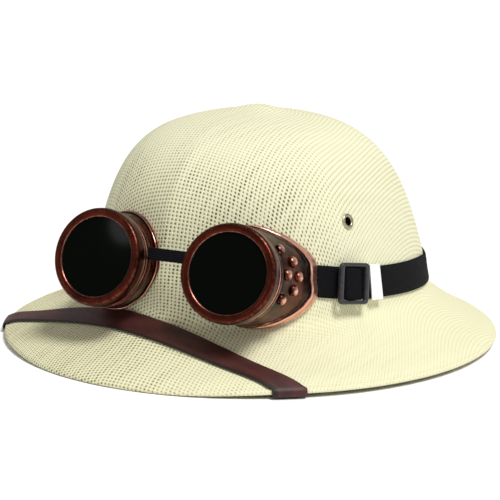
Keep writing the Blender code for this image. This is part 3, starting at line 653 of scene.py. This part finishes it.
def chin_rail(offset):
    """One lengthwise line of the chin strap, at a distance from its middle towards the crown."""
    ends = [heading(angle) * edge_radius(angle) for angle in (CHIN_RIGHT_ANGLE, CHIN_LEFT_ANGLE)]
    line = (ends[1] - ends[0]).normalized()
    inward = UP.cross(line)
    span = (ends[1] - ends[0]).length

    def over(share):
        bow = 4 * CHIN_BOW * share * (1 - share)
        return ends[0] + line * span * share + inward * (offset - bow)

    limits = []
    for share, aim in ((0.1, -1), (0.9, 1)):
        slope = (over(share + 0.01) - over(share - 0.01)).normalized() * aim
        reach = edge_crossing(over(share), slope)
        limits.append(share + aim * reach * abs(slope.dot(line)) / span)
    top = []
    for i in range(CHIN_STEPS + 1):
        way = CHIN_MARGIN + (1 - 2 * CHIN_MARGIN) * i / CHIN_STEPS
        part = limits[0] + (limits[1] - limits[0]) * way
        level = over(part)
        top.append(surface.ray_cast(level + UP * REACH, -UP)[0])
    under = {}
    for side, share in ((-1, limits[0]), (1, limits[1])):
        crossing = over(share)
        angle = atan2(crossing.x, -crossing.y)
        wrap = [lip_point(angle, inset, height) for inset, height in (
            (LIP_ROUND, LIP_HEIGHT - LIP_ROUND), (0.2 * LIP_ROUND, LIP_HEIGHT - 2 * LIP_ROUND),
            (0, LIP_HEIGHT - 3 * LIP_ROUND), (0, LIP_ROUND), (0.2 * LIP_ROUND, 0.3 * LIP_ROUND),
            (LIP_ROUND, 0), (LIP_THICKNESS + LIP_ROUND, 0))]
        anchor_angle = side * CHIN_ANCHOR_ANGLE
        outset = heading(anchor_angle) * (CHIN_ANCHOR_OUTSET + offset)
        anchor = crown_point(anchor_angle, 0) + outset
        back = []
        for step in range(CHIN_ANCHOR_STEPS + 1):
            level = anchor + Vector((0, CHIN_ANCHOR_LENGTH * step / CHIN_ANCHOR_STEPS, 0))
            level.z = 0
            back.append(surface.ray_cast(level, UP)[0])
        free = []
        for step in range(1, CHIN_FREE_STEPS):
            free.append(wrap[-1].lerp(back[0], step / CHIN_FREE_STEPS))
        under[side] = wrap + free + back
    return under[-1][::-1] + top + under[1]


rails = [chin_rail(CHIN_WIDTH * share) for share in ACROSS]
leather_grid = [list(points) for points in zip(*rails)]
chin = strap_piece("chin_leather", leather_grid, UP, STRAP_GAP, CHIN_THICKNESS)
chin_surface = face_tree(chin)

LEATHER_DARK = (0.028, 0.0085, 0.0075)
LEATHER_RED = (0.085, 0.021, 0.016)
LOWER_EDGE_SHADE = (0.014, 0.007, 0.006)
leather, start, shader = new_finish("brown_leather", specular_ior_level=0.35)
strip = start.sheet()
_, across, _ = start.split(strip)
spot = start.spot()
stain = start.noise(start.stretched(strip, (0.35, 1.0, 1.0)), 1.4, 3.0)
grain = start.noise(spot, 1500.0, 3.0)
pores = start.noise(spot, 380.0, 2.0)
tone = (stain * 0.75 + grain * 0.35).step(0.3, 0.8)
half_width = CHIN_WIDTH / 2 * TO_CM
# Painted shade: the lower edge is drawn dark
edge_shade = (0.0 - across).step(half_width * 0.98, half_width * 0.996)
colour = edge_shade.mix(tone.mix(LEATHER_DARK, LEATHER_RED), LOWER_EDGE_SHADE)
connect(shader, base_color=colour, roughness=0.42 + 0.2 * pores,
        normal=start.bump(grain * 0.6 + pores, 0.35, 0.0003))
hand_over(chin, leather, "brown_leather", "chin_strap", sharp=50)

# Goggle cups: hollow moulded eye cups with an antique copper finish. Each has a grooved collar, a
# side that follows the helmet to a raised border, and six domed studs on its temple wing.
LENS_SPACING = 0.0806
GOGGLE_RISE = 0.0341
GOGGLE_NOSE_GAP = 0.0061
GOGGLE_TURN = radians(5.4)
LENS_TOE_OUT = radians(3.7)
LENS_TILT = radians(16.7)
RING_DIAMETER = 0.055
RING_DEPTH = 0.0075
RING_LIP = 0.0018
RING_WALL = 0.0022
LENS_VIEW_DIAMETER = 0.0446
LENS_THICKNESS = 0.002
COLLAR_DIAMETER = 0.0530
COLLAR_DEPTH = 0.0095
COLLAR_GROOVE = 0.0007
CUP_WALL = 0.002
CUP_GAP = 0.0006
BORDER_WIDTH = 0.0076
BORDER_RELIEF = 0.0011
STUD_DIAMETER = 0.0068
STUD_RELIEF = 0.0028
CUP_SIDES = 160
CUP_STAND_REACH = 0.0009
FIELD_ROWS = 26
WING_START = 0.012
WING_FADE = 0.006
RIPPLES = 3
RIPPLE_PITCH = 0.0013
RIPPLE_RELIEF = 0.00045
EDGE_REACH = 4
# Back outline seen along the lens axis: degrees from the temple side upwards, share of ring radius
CUP_OUTLINE = (
    (-180, 1.05), (-155, 0.94), (-125, 0.89), (-95, 0.96), (-60, 1.05), (-40, 1.09), (-23, 1.16),
    (-9, 1.21), (8, 1.18), (25, 1.26), (34, 1.25), (48, 1.18), (66, 1.12), (90, 1.10), (135, 1.06),
    (180, 1.05),
)
# Degrees round the lens axis, and share of the way from the collar to the back edge
STUDS = ((40, 0.10), (25, 0.31), (9, 0.12), (9, 0.45), (-7, 0.33), (-21, 0.12))


def outline_radius(angle):
    """Radius of a cup's back outline, smoothly through its table."""
    degrees = (angle * 180 / pi + 180) % 360 - 180
    table = (CUP_OUTLINE[-2], *CUP_OUTLINE, CUP_OUTLINE[1])
    for i in range(1, len(table) - 2):
        (low, first), (high, second) = table[i], table[i + 1]
        if low <= degrees <= high:
            share = (degrees - low) / (high - low)
            before = first - table[i - 1][1]
            after = table[i + 2][1] - second
            rise = second - first
            bow = (before - rise) * (1 - share) + (after - rise) * share
            return RING_DIAMETER / 2 * (first + rise * share + bow * share * (1 - share) / 2)


def goggle_place(side):
    """Frame of a lens: X towards the temple, Y upwards, Z out of the lens."""
    front, _ = outer_hit(GOGGLE_TURN, JUNCTION_HEIGHT + GOGGLE_RISE)
    standoff = GOGGLE_NOSE_GAP + COLLAR_DEPTH + RING_DEPTH - RING_LIP
    middle = front + heading(GOGGLE_TURN) * standoff
    across = UP.cross(heading(GOGGLE_TURN))
    level = heading(GOGGLE_TURN + side * LENS_TOE_OUT)
    forward = (level * cos(LENS_TILT) + UP * sin(LENS_TILT)).normalized()
    up = (UP * cos(LENS_TILT) - level * sin(LENS_TILT)).normalized()
    turn = Matrix((UP.cross(level) * side, up, forward)).transposed().to_4x4()
    return Matrix.Translation(middle + across * side * LENS_SPACING / 2) @ turn


def seat_depth(place, skin, angle, radius):
    """Depth along the lens axis at which a point at this angle and radius meets a surface."""
    start = place @ Vector((radius * cos(angle), radius * sin(angle), RING_LIP))
    backwards = -(place.to_3x3() @ Vector((0, 0, 1)))
    hit = skin.ray_cast(start, backwards)
    return -REACH if hit[0] is None else RING_LIP - hit[3]


def cup_edge(place, inset):
    """Back edge of a cup: a ring of (radius, depth) that clears the shell and the chin strap."""
    samples = []
    for i in range(CUP_SIDES):
        angle = 2 * pi * i / CUP_SIDES
        radius = outline_radius(angle) - inset
        depth = max(seat_depth(place, surface, angle, radius),
                    seat_depth(place, chin_surface, angle, radius))
        samples.append((radius, depth))
    edge = []
    for i, (radius, own) in enumerate(samples):
        nearby = [samples[(i + step) % CUP_SIDES][1]
                  for step in range(-EDGE_REACH, EDGE_REACH + 1)]
        edge.append((radius, max(own, (own + max(nearby)) / 2) + CUP_GAP))
    return edge


def ring_points(place, ring):
    """Points of a ring of (radius, depth) round a lens axis."""
    points = []
    for i, (radius, depth) in enumerate(ring):
        turn = 2 * pi * i / CUP_SIDES
        points.append(place @ Vector((radius * cos(turn), radius * sin(turn), depth)))
    return points


def wall_spot(edge_spot, share, lift=0):
    """Radius and depth at a share of the way from a cup's collar to its back edge."""
    radius, depth = edge_spot
    base = groove + (radius - BORDER_RELIEF - groove) * share
    return base + lift, collar_end + (depth - collar_end) * share


ring_back = RING_LIP - RING_DEPTH
spigot = RING_DIAMETER / 2 - RING_WALL - SEAT_GAP
lens_back = -LENS_THICKNESS - SEAT_GAP
collar = COLLAR_DIAMETER / 2
shoulder = ring_back - SEAT_GAP
collar_end = shoulder - COLLAR_DEPTH
cup_bore = spigot - CUP_WALL
groove = collar - COLLAR_GROOVE
# Radius and share of the collar's depth, and brightness: above 0 rubbing with painted highlight,
# below 0 patina with painted shade
COLLAR_PROFILE = (
    (collar - 0.0009, 0, 0.1), (collar - 0.0003, 0.02, 0.3), (collar, 0.07, 0.5),
    (collar, 0.18, 0.3), (collar - 0.0002, 0.22, 0.4), (groove, 0.235, -1),
    (groove - 0.0002, 0.27, -1), (groove, 0.305, -1), (collar - 0.0002, 0.32, 0.4),
    (collar, 0.36, 0.3), (collar, 0.46, 0.3), (collar - 0.0002, 0.51, 0.5), (groove, 0.53, -1),
    (groove - 0.0003, 0.58, -1), (groove, 0.63, -1), (collar - 0.0002, 0.65, 0.5),
    (collar, 0.69, 0.4), (collar, 0.78, 0.2), (collar - 0.0001, 0.86, 0.5), (groove, 0.91, -1),
    (groove - 0.0004, 0.95, -1), (groove, 1, -0.6),
)
# Distance from the back edge as a share of the border's width, share of its relief, and brightness:
# above 0 rubbing with painted highlight, below 0 patina with painted shade
BORDER_PROFILE = (
    (1.0, 0, -0.8), (0.985, 0.35, 0.2), (0.95, 0.75, 1), (0.88, 0.97, 1), (0.75, 1, 0.8),
    (0.6, 0.95, 0.65), (0.45, 0.93, 0.65), (0.3, 0.95, 0.75), (0.16, 1, 1), (0.07, 0.9, 1),
    (0.015, 0.65, 0.7), (0, 0.3, 0.3), (0, 0, 0),
)


def cup_piece(name, place, back_edge):
    """The cup's mesh: rings from the lens seat over the outside and back through the bore."""
    def even_ring(radius, depth, rub_and_shade=0):
        return [(radius, depth)] * CUP_SIDES, [rub_and_shade] * CUP_SIDES

    def temple(i):
        """1 at the temple side, falling to 0 towards the nose."""
        return smooth((0.25 + cos(2 * pi * i / CUP_SIDES)) / 1.1)

    def border(i):
        """Share of the wall that the raised border takes; it narrows towards the nose."""
        width = BORDER_WIDTH * (0.3 + 0.7 * temple(i))
        return min(width / (collar_end - back_edge[i][1]), 0.5)

    seat = ((cup_bore, lens_back), (spigot, lens_back), (spigot, shoulder))
    rows = [even_ring(radius, depth) for radius, depth in seat]
    for radius, share, rub_and_shade in COLLAR_PROFILE:
        rows.append(even_ring(radius, shoulder - COLLAR_DEPTH * share, rub_and_shade))
    for step in range(1, FIELD_ROWS):
        ring = []
        for i in range(CUP_SIDES):
            length = collar_end - back_edge[i][1]
            share = (1 - border(i)) * step / FIELD_ROWS
            behind = (1 - border(i) - share) * length
            wide = smooth((length - WING_START) / WING_FADE)
            ripple = 0.5 - 0.5 * cos(2 * pi * behind / RIPPLE_PITCH)
            near = behind < RIPPLES * RIPPLE_PITCH
            lift = RIPPLE_RELIEF * wide * ripple if near else 0
            ring.append(wall_spot(back_edge[i], share, lift))
        # The field darkens towards the collar and the border: patina with painted shade in the
        # recess
        rows.append((ring, [-0.75 * abs(2 * step / FIELD_ROWS - 1) ** 3] * CUP_SIDES))
    for part, lift, rub_and_shade in BORDER_PROFILE:
        ring = [wall_spot(edge_spot, 1 - border(i) * part, BORDER_RELIEF * lift)
                for i, edge_spot in enumerate(back_edge)]
        rows.append((ring, [rub_and_shade * (0.4 + 0.6 * temple(i)) for i in range(CUP_SIDES)]))
    inner = cup_edge(place, BORDER_RELIEF + CUP_WALL)
    for share in (0, 0.25, 0.5, 0.75):
        ring = [(radius + (cup_bore - radius) * share, depth + (collar_end - depth) * share)
                for radius, depth in inner]
        rows.append((ring, [0] * CUP_SIDES))
    rows += [even_ring(cup_bore, collar_end), rows[0]]
    points = [ring_points(place, ring) for ring, _ in rows]
    coordinates = [[(i / CUP_SIDES, value) for i, value in enumerate(line)] for _, line in rows]
    piece = grid_piece(name, points, around=True, coordinates=coordinates)
    close_up(piece)
    return piece


def stud_frame(place, back_edge, angle, share):
    """Frame on the wall of a cup, with its Z axis straight out of the wall."""
    edge_spot = back_edge[round(angle / (2 * pi) * CUP_SIDES) % CUP_SIDES]

    def on_wall(turn, part):
        radius, depth = wall_spot(edge_spot, part)
        return place @ Vector((radius * cos(turn), radius * sin(turn), depth))

    centre = on_wall(angle, share)
    along = on_wall(angle, share + 0.1) - centre
    normal = along.cross(on_wall(angle + 0.1, share) - centre).normalized()
    if normal.dot(centre - place.translation) < 0:
        normal = -normal
    return look_along(centre, normal)


COPPER_BRIGHT = (0.85, 0.43, 0.34)
COPPER_RED = (0.125, 0.022, 0.0105)
COPPER_BROWN = (0.026, 0.0054, 0.0031)
COPPER_BRONZE = (0.105, 0.048, 0.020)
COPPER_BLACK = (0.006, 0.003, 0.0022)


def copper_finish(name, rest, flat_share, patina, edge_rub_and_shine):
    """Antique copper: black hollows (patina, painted shade), red-brown flats, bright edges
    (rubbing, painted highlight).
    """
    copper, start, shader = new_finish(name, metallic=0.92, specular_ior_level=0.15)
    standing_out, spot = start.standing_out(), start.spot()
    _, rub_and_shade, _ = start.split(start.sheet())
    cloud = start.noise(spot, 85.0, 4.0, 0.6)
    speck = start.noise(spot, 560.0, 4.0, 0.65)
    bronze = start.noise(spot, 42.0, 3.0).step(0.42, 0.68) * patina
    red = bronze.mix(COPPER_RED, COPPER_BRONZE)
    flat = (cloud * 0.8 + speck * 0.4).step(*flat_share).mix(rest, red)
    # Hollows go black (patina, painted shade); edges and raised rows go bright (rubbing, painted
    # highlight)
    hollow = (standing_out + speck * 0.05).step(0.0, -0.13).math("MAXIMUM", rub_and_shade.step(0.0, -0.7))
    shaded = hollow.mix(flat, COPPER_BLACK)
    edge = (standing_out + (speck - 0.5) * 0.11).step(0.07, 0.25) * edge_rub_and_shine
    face = (rub_and_shade * (speck * 0.9 + cloud * 0.9)).step(0.22, 0.82)
    bright = edge.math("MAXIMUM", face)
    connect(shader, base_color=bright.mix(shaded, COPPER_BRIGHT), roughness=0.29 - 0.05 * bright,
            normal=start.bump(speck, 0.15, 0.0002))
    return copper


cup_copper = copper_finish("antique_copper_cup", COPPER_BLACK, (0.46, 0.72), 0.4, 0.8)
deselect()
bpy.ops.mesh.primitive_uv_sphere_add(segments=24, ring_count=16, radius=STUD_DIAMETER / 2)
model = bpy.context.object
# Each stud goes black at its base, as painted contact shadow with patina, and bright to its top, as
# rubbing with painted highlight
for corner in model.data.uv_layers.active.data:
    corner.uv = (0, 1.8 * max(corner.uv.y * 2 - 1, 0) ** 0.5 - 0.8)
flatten = Matrix.Diagonal((1, 1, STUD_RELIEF / STUD_DIAMETER * 2, 1))
places, edges = {}, {}
for name, side in (("left", 1), ("right", -1)):
    place = places[name] = goggle_place(side)
    back_edge = cup_edge(place, 0)
    edges[name] = ring_points(place, back_edge)
    cup = cup_piece("cup_" + name, place, back_edge)
    studs = []
    for degrees, share in STUDS:
        stud_place = stud_frame(place, back_edge, radians(degrees), share) @ flatten
        studs.append(set_copy(model, "stud", stud_place))
    choose(cup)
    for stud in studs:
        stud.select_set(True)
    bpy.ops.object.join()
    mark_standing_out(cup, CUP_STAND_REACH)
    hand_over(cup, cup_copper, "antique_copper", "goggle_cup_" + name)
bpy.data.objects.remove(model, do_unlink=True)

# Lens rings: turned copper rings with a rounded bead. Each screws onto the front of its cup and
# clamps the lens between its lip and the cup.
RING_SIDES = 128
RING_STAND_REACH = 0.0011
BEAD_STEPS = 18
BEAD_START = -0.0014
BEAD_END = 0.35 * RING_LIP
BEAD_POWER = 0.9
ring_copper = copper_finish("antique_copper_ring", COPPER_BROWN, (0.30, 1.0), 0.0, 1.0)
rim, view = RING_DIAMETER / 2, LENS_VIEW_DIAMETER / 2
bore = rim - RING_WALL
profile = [(bore, ring_back), (rim - 0.0006, ring_back), (rim - 0.0001, ring_back + 0.0005),
           (rim, ring_back + 0.0012), (rim, (ring_back + BEAD_START) / 2)]
for step in range(BEAD_STEPS + 1):
    turn = pi * step / BEAD_STEPS
    base = BEAD_START + (BEAD_END - BEAD_START) * step / BEAD_STEPS
    profile.append(((rim + view) / 2 + (rim - view) / 2 * cos(turn),
                    base + (RING_LIP - base) * sin(turn) ** BEAD_POWER))
profile += [(view, SEAT_GAP / 2), (bore, SEAT_GAP / 2)]
model = turned("ring", profile, RING_SIDES)
mark_standing_out(model, RING_STAND_REACH)
for name, place in places.items():
    ring = set_copy(model, "ring_" + name, place)
    hand_over(ring, ring_copper, "antique_copper", "lens_ring_" + name)
bpy.data.objects.remove(model, do_unlink=True)

# Lenses: round dark green lenses, almost black, with a polished face that bulges a little.
# Each is clamped between the lip of its ring and the front of its cup.
LENS_BULGE = 0.0008
LENS_SIDES = 96
LENS_STEPS = 12
LENS_MIDDLE = 0.001
LENS_GREEN = (0.0012, 0.0018, 0.0011)
glass, start, shader = new_finish("dark_lens", base_color=LENS_GREEN, roughness=0.09,
                                  specular_ior_level=0.04)
radius = RING_DIAMETER / 2 - RING_WALL - SEAT_GAP
profile = [(radius * LENS_MIDDLE, -LENS_THICKNESS), (radius, -LENS_THICKNESS)]
for step in range(LENS_STEPS + 1):
    share = cos(pi / 2 * step / LENS_STEPS) if step < LENS_STEPS else LENS_MIDDLE
    profile.append((radius * share, -SEAT_GAP / 2 + LENS_BULGE * (1 - share ** 2)))
model = turned("lens_glass", profile, LENS_SIDES)
for name, place in places.items():
    lens = set_copy(model, "lens_glass_" + name, place)
    hand_over(lens, glass, "dark_lens", "lens_" + name)
bpy.data.objects.remove(model, do_unlink=True)

# Bridge: a narrow black elastic that runs from collar to collar over the nose. It is woven like the
# head strap and holds the cups at their distance.
BRIDGE_HEIGHT = 0.0068
BRIDGE_THICKNESS = 0.0016
BRIDGE_RISE = 0.0065
BRIDGE_STEPS = 16
RIB_PITCH = 0.0011
STITCH_PITCH = 0.0009
ELASTIC_BLACK = (0.0018, 0.0018, 0.0027)
ELASTIC_WORN = (0.0066, 0.0066, 0.0088)
elastic, start, shader = new_finish("black_elastic", roughness=0.75, specular_ior_level=0.10)
along, across, _ = start.split(start.sheet())
rib = (across * (2 * pi / RIB_PITCH / TO_CM)).math("COSINE") * 0.5 + 0.5
stitch = (along * (2 * pi / STITCH_PITCH / TO_CM)).math("COSINE") * 0.5 + 0.5
fluff = start.noise(start.spot(), 900.0, 3.0)
tone = (rib * 0.6 + stitch * 0.15 + fluff * 0.4).step(0.35, 1.05)
connect(shader, base_color=tone.mix(ELASTIC_BLACK, ELASTIC_WORN),
        normal=start.bump(rib + stitch * 0.3 + fluff * 0.4, 0.6, 0.0003))
reach = sqrt((collar + SEAT_GAP) ** 2 - (BRIDGE_RISE - BRIDGE_HEIGHT / 2) ** 2)
depth = ring_back - COLLAR_DEPTH / 2
ends = []
for name in ("right", "left"):
    ends.append([places[name] @ Vector((-reach, BRIDGE_RISE + BRIDGE_HEIGHT * share, depth))
                 for share in ACROSS])
grid = [[first.lerp(second, step / BRIDGE_STEPS) for first, second in zip(*ends)]
        for step in range(BRIDGE_STEPS + 1)]
forward = places["left"].to_3x3() @ Vector((0, 0, 1))
bridge = strap_piece("bridge_elastic", grid, forward, 0, BRIDGE_THICKNESS)
hand_over(bridge, elastic, "black_elastic", "bridge_strap", sharp=50)

# Head strap: woven black elastic, from one temple wing round the back of the crown to the other.
# It is held there by its own tension, lowest at the rear.
STRAP_WIDTH = 0.0180
STRAP_THICKNESS = 0.0012
STRAP_REAR_RISE = 0.0120
STRAP_DROP_POWER = 3.2
STRAP_ON_WING = 0.0050
STRAP_STATIONS = 150
STRAP_TUCK = radians(0.5)


def wing_tip(name):
    """Where the head strap starts: the angle just past a wing's tip, and its middle height."""
    def turn(point):
        return abs(atan2(point.x, -(point.y - CROWN_SET_BACK)))

    place = places[name]
    upright = place.inverted()
    beside = [point for point in edges[name]
              if abs((upright @ point).y - STRAP_ON_WING) < STRAP_WIDTH and (upright @ point).x > 0]
    tip = max(beside, key=turn)
    local = upright @ tip
    return turn(tip), (place @ Vector((local.x, STRAP_ON_WING, local.z))).z


def strap_row(angle, height):
    """Points across the strap on the outside of the crown, from its lower to its upper edge."""
    _, normal = outer_hit(angle, height)
    rise = STRAP_WIDTH * sqrt(1 - normal.z ** 2)
    return [outer_hit(angle, height + rise * share)[0] for share in ACROSS]


(start_angle, start_height), (end_angle, end_height) = wing_tip("left"), wing_tip("right")
span = 2 * pi - start_angle - end_angle
rear = JUNCTION_HEIGHT + STRAP_REAR_RISE
stations = []
for i in range(STRAP_STATIONS + 1):
    share = 2 * i / STRAP_STATIONS
    height = start_height if share < 1 else end_height
    stations.append((start_angle - STRAP_TUCK + (span + 2 * STRAP_TUCK) * share / 2,
                     rear + (height - rear) * abs(1 - share) ** STRAP_DROP_POWER))
grid = [strap_row(angle, height) for angle, height in stations]
strap = strap_piece("head_elastic", grid, -heading(0), STRAP_GAP, STRAP_THICKNESS)
hand_over(strap, elastic, "black_elastic", "head_strap", sharp=50)

# Doubled end: the strap's free end comes back over the slide's bar, fills the slide's window and
# runs on under the clip.
BUCKLE_FROM_WING = 0.0100
BUCKLE_LENGTH = 0.0222
BUCKLE_BAR = 0.0032
TAIL_HUMP = 0.0034
TAIL_SPREAD = 0.0008
WINDOW_GAP = 0.0005
TAIL_STEPS = 60
CLIP_FROM_BUCKLE = 0.0036
CLIP_LENGTH = 0.0098
DOUBLED_HEIGHT = STRAP_GAP + 2 * STRAP_THICKNESS + SEAT_GAP


def strap_patch(start, length, steps):
    """Grid on the crown under a stretch of the strap, by distance from the left wing."""
    spots = [outer_hit(angle, height)[0] for angle, height in stations]
    patch = []
    for step in range(steps + 1):
        left = start + length * step / steps
        for i in range(STRAP_STATIONS):
            stretch = (spots[i + 1] - spots[i]).length
            if left <= stretch:
                break
            left -= stretch
        angle, height = Vector(stations[i]).lerp(Vector(stations[i + 1]), left / stretch)
        patch.append(strap_row(angle, height))
    return patch


window = BUCKLE_LENGTH - 2 * BUCKLE_BAR - 2 * SEAT_GAP
length = BUCKLE_LENGTH - BUCKLE_BAR - SEAT_GAP + CLIP_FROM_BUCKLE + CLIP_LENGTH
patch = strap_patch(BUCKLE_FROM_WING + BUCKLE_BAR + SEAT_GAP, length, TAIL_STEPS)
outward = patch[0][len(ACROSS) // 2] - CROWN_AXIS
low, high, coordinates = [], [], []
for i, (line, directions) in enumerate(zip(patch, grid_normals(patch, outward))):
    share = length * i / TAIL_STEPS / window
    hump = TAIL_HUMP * min(smooth(share * 5), smooth((1 - share) * 5))
    top = DOUBLED_HEIGHT + max(hump - STRAP_THICKNESS, 0)
    middle = directions[len(ACROSS) // 2]
    spread = (line[-1] - line[0]) * TAIL_SPREAD / STRAP_WIDTH * hump / TAIL_HUMP
    line = [point + spread * share for point, share in zip(line, ACROSS)]
    low.append(face_line(line, directions, DOUBLED_HEIGHT - STRAP_THICKNESS, STRAP_THICKNESS))
    high.append(face_line(line, [middle] * len(ACROSS), top, -STRAP_THICKNESS))
    coordinates.append([(length * i / TAIL_STEPS * TO_CM, share * STRAP_WIDTH * TO_CM)
                        for share in ACROSS])
tail = band_piece("doubled_elastic", low, high, coordinates)
hand_over(tail, elastic, "black_elastic", "strap_tail", sharp=50)

# Slide: a moulded dark grey plastic frame that sets the strap's length. The elastic runs up through
# its window and is pinched against its bars.
BUCKLE_RAIL = 0.0022
BUCKLE_THICKNESS = 0.0022
CORNER_STEPS = 8
CORNER_OUTSIDE = 0.0030
CORNER_WINDOW = 0.0008
# Share of the way from the outside of the frame to its window, and share of its thickness
FRAME_PROFILE = ((0, 0), (0, 0.35), (0.03, 0.62), (0.1, 0.83), (0.22, 0.95), (0.4, 1), (0.6, 1),
                 (0.78, 0.95), (0.9, 0.83), (0.97, 0.62), (1, 0.35), (1, 0), (0.5, 0), (0, 0))


def frame_outline(share):
    """Rounded rectangle at a share of the way from the outside of the frame to its window."""
    x = BUCKLE_LENGTH / 2 - BUCKLE_BAR * share
    y = STRAP_WIDTH / 2 + WINDOW_GAP + BUCKLE_RAIL * (1 - share)
    round_off = CORNER_OUTSIDE + (CORNER_WINDOW - CORNER_OUTSIDE) * share
    outline = []
    for corner, (sx, sy) in enumerate(((1, 1), (-1, 1), (-1, -1), (1, -1))):
        for step in range(CORNER_STEPS + 1):
            turn = pi / 2 * (corner + step / CORNER_STEPS)
            outline.append((sx * (x - round_off) + round_off * cos(turn),
                            sy * (y - round_off) + round_off * sin(turn)))
    return outline


first, middle, last = strap_patch(BUCKLE_FROM_WING, BUCKLE_LENGTH, 2)
centre = middle[len(ACROSS) // 2]
along = (last[len(ACROSS) // 2] - first[len(ACROSS) // 2]).normalized()
outward = along.cross((middle[-1] - middle[0]).normalized()).normalized()
if outward.dot(centre - CROWN_AXIS) < 0:
    outward = -outward
axes = Matrix((along, outward.cross(along), outward)).transposed().to_4x4()
place = Matrix.Translation(centre + outward * (DOUBLED_HEIGHT + SEAT_GAP)) @ axes
rings = [[place @ Vector((x, y, BUCKLE_THICKNESS * lift)) for x, y in frame_outline(share)]
         for share, lift in FRAME_PROFILE]
slide = grid_piece("slide", rings, around=True)
close_up(slide)
PLASTIC_DARK = (0.018, 0.018, 0.021)
PLASTIC_GREY = (0.034, 0.034, 0.038)
plastic, start, shader = new_finish("dark_plastic", specular_ior_level=0.5)
mottle = start.noise(start.spot(), 600.0, 3.0)
connect(shader, base_color=mottle.step(0.3, 0.8).mix(PLASTIC_DARK, PLASTIC_GREY),
        roughness=0.26 + 0.15 * mottle, normal=start.bump(mottle, 0.15, 0.0001))
hand_over(slide, plastic, "dark_plastic", "strap_buckle")

# Clip: a strip of bright plated sheet metal folded over the doubled end and down both edges of the
# strap, and pressed tight so that the end can't pull out.
CLIP_THICKNESS = 0.0006
CLIP_MARGIN = 0.0006
CLIP_BEND = 0.0007
CLIP_BEND_STEPS = 5
CLIP_STEPS = 8
clip_height = DOUBLED_HEIGHT + SEAT_GAP
clip_half = STRAP_WIDTH / 2 + SEAT_GAP + CLIP_THICKNESS + CLIP_MARGIN / 2
spine = strap_patch(BUCKLE_FROM_WING + BUCKLE_LENGTH + CLIP_FROM_BUCKLE, CLIP_LENGTH, CLIP_STEPS)
low, high, coordinates = [], [], []
for i, (line, directions) in enumerate(zip(spine, grid_normals(spine, spine[0][0] - CROWN_AXIS))):
    up = (line[-1] - line[0]).normalized()
    middle, outward = line[len(ACROSS) // 2], directions[len(ACROSS) // 2]
    for face, half, top in ((low, clip_half - CLIP_THICKNESS, clip_height),
                            (high, clip_half, clip_height + CLIP_THICKNESS)):
        curve = [(half, SEAT_GAP), (half, (SEAT_GAP + top) / 2)]
        for step in range(CLIP_BEND_STEPS + 1):
            turn = pi / 2 * step / CLIP_BEND_STEPS
            curve.append((half - CLIP_BEND + CLIP_BEND * cos(turn),
                          top - CLIP_BEND + CLIP_BEND * sin(turn)))
        curve.append((half / 2, top))
        lower, upper = [[middle + up * across * side + outward * lift for across, lift in curve]
                        for side in (-1, 1)]
        face.append(lower + [middle + outward * top] + upper[::-1])
    coordinates.append([(i, j) for j in range(len(low[-1]))])
clip = band_piece("clip_plate", low, high, coordinates)
METAL_GREY = (0.92, 0.92, 0.93)
METAL_BRIGHT = (0.98, 0.98, 0.98)
metal, start, shader = new_finish("bright_metal", metallic=0.3)
brushed = start.noise(start.stretched(start.spot(), (1.0, 1.0, 14.0)), 160.0, 3.0)
connect(shader, base_color=brushed.step(0.2, 0.8).mix(METAL_GREY, METAL_BRIGHT),
        roughness=0.28 + 0.14 * brushed)
hand_over(clip, metal, "bright_metal", "strap_clip")

# Plain pale floor and soft studio light, and the camera at the height and angle of the photograph.
# All of it is staging and no part of the helmet.
VIEW_AZIMUTH = radians(30.26)
VIEW_ELEVATION = radians(11.31)
VIEW_DISTANCE = 1.150
VIEW_AIM_SIDE = -0.00504
VIEW_AIM = Vector((0, 0.0028, 0.04863))
VIEW_ROLL = radians(-1.76)
VIEW_LENS = 137.03
FLOOR_DROP = 0.0004
FLOOR_PALE = (0.98, 0.98, 0.975)
STUDIO_STRENGTH = 0.42


def add_staging(name, data, place):
    """A camera or a light, set in its place."""
    item = bpy.data.objects.new(name, data)
    item.matrix_world = place
    bpy.context.collection.objects.link(item)
    return item


def towards(azimuth, elevation):
    """Direction from the helmet, by its angle from the front and its angle above the floor."""
    return heading(azimuth) * cos(elevation) + UP * sin(elevation)


def add_light(name, azimuth, elevation, spread, strength):
    """Distant soft light, placed by its angles in degrees as seen from the helmet."""
    direction = towards(radians(azimuth), radians(elevation))
    place = look_along(direction * 2, direction)
    light = add_staging(name, bpy.data.lights.new(name, "SUN"), place)
    light.data.angle = radians(spread)
    light.data.energy = strength


back = towards(VIEW_AZIMUTH, VIEW_ELEVATION)
turn = Matrix.Translation((VIEW_AIM_SIDE, 0, 0)) @ Matrix.Rotation(-VIEW_ROLL, 4, "Z")
place = look_along(VIEW_AIM + back * VIEW_DISTANCE, back) @ turn
camera = add_staging("camera", bpy.data.cameras.new("camera"), place)
camera.data.lens = VIEW_LENS
camera.data.sensor_width = 36
bpy.context.scene.camera = camera
add_light("key", 70, 61, 20, 2.8)
add_light("front", -28, 24, 8, 0.10)

deselect()
bpy.ops.mesh.primitive_plane_add(size=40, location=(0, 0, -FLOOR_DROP))
floor = bpy.context.object
floor.name = "floor"
pale, start, shader = new_finish("pale_floor", base_color=FLOOR_PALE, roughness=0.8)
floor.data.materials.append(pale)

studio = bpy.data.worlds.new("studio")
studio.use_nodes = True
background = studio.node_tree.nodes["Background"]
background.inputs["Color"].default_value = (1, 1, 1, 1)
background.inputs["Strength"].default_value = STUDIO_STRENGTH
bpy.context.scene.world = studio
bpy.context.scene.view_settings.view_transform = "Standard"
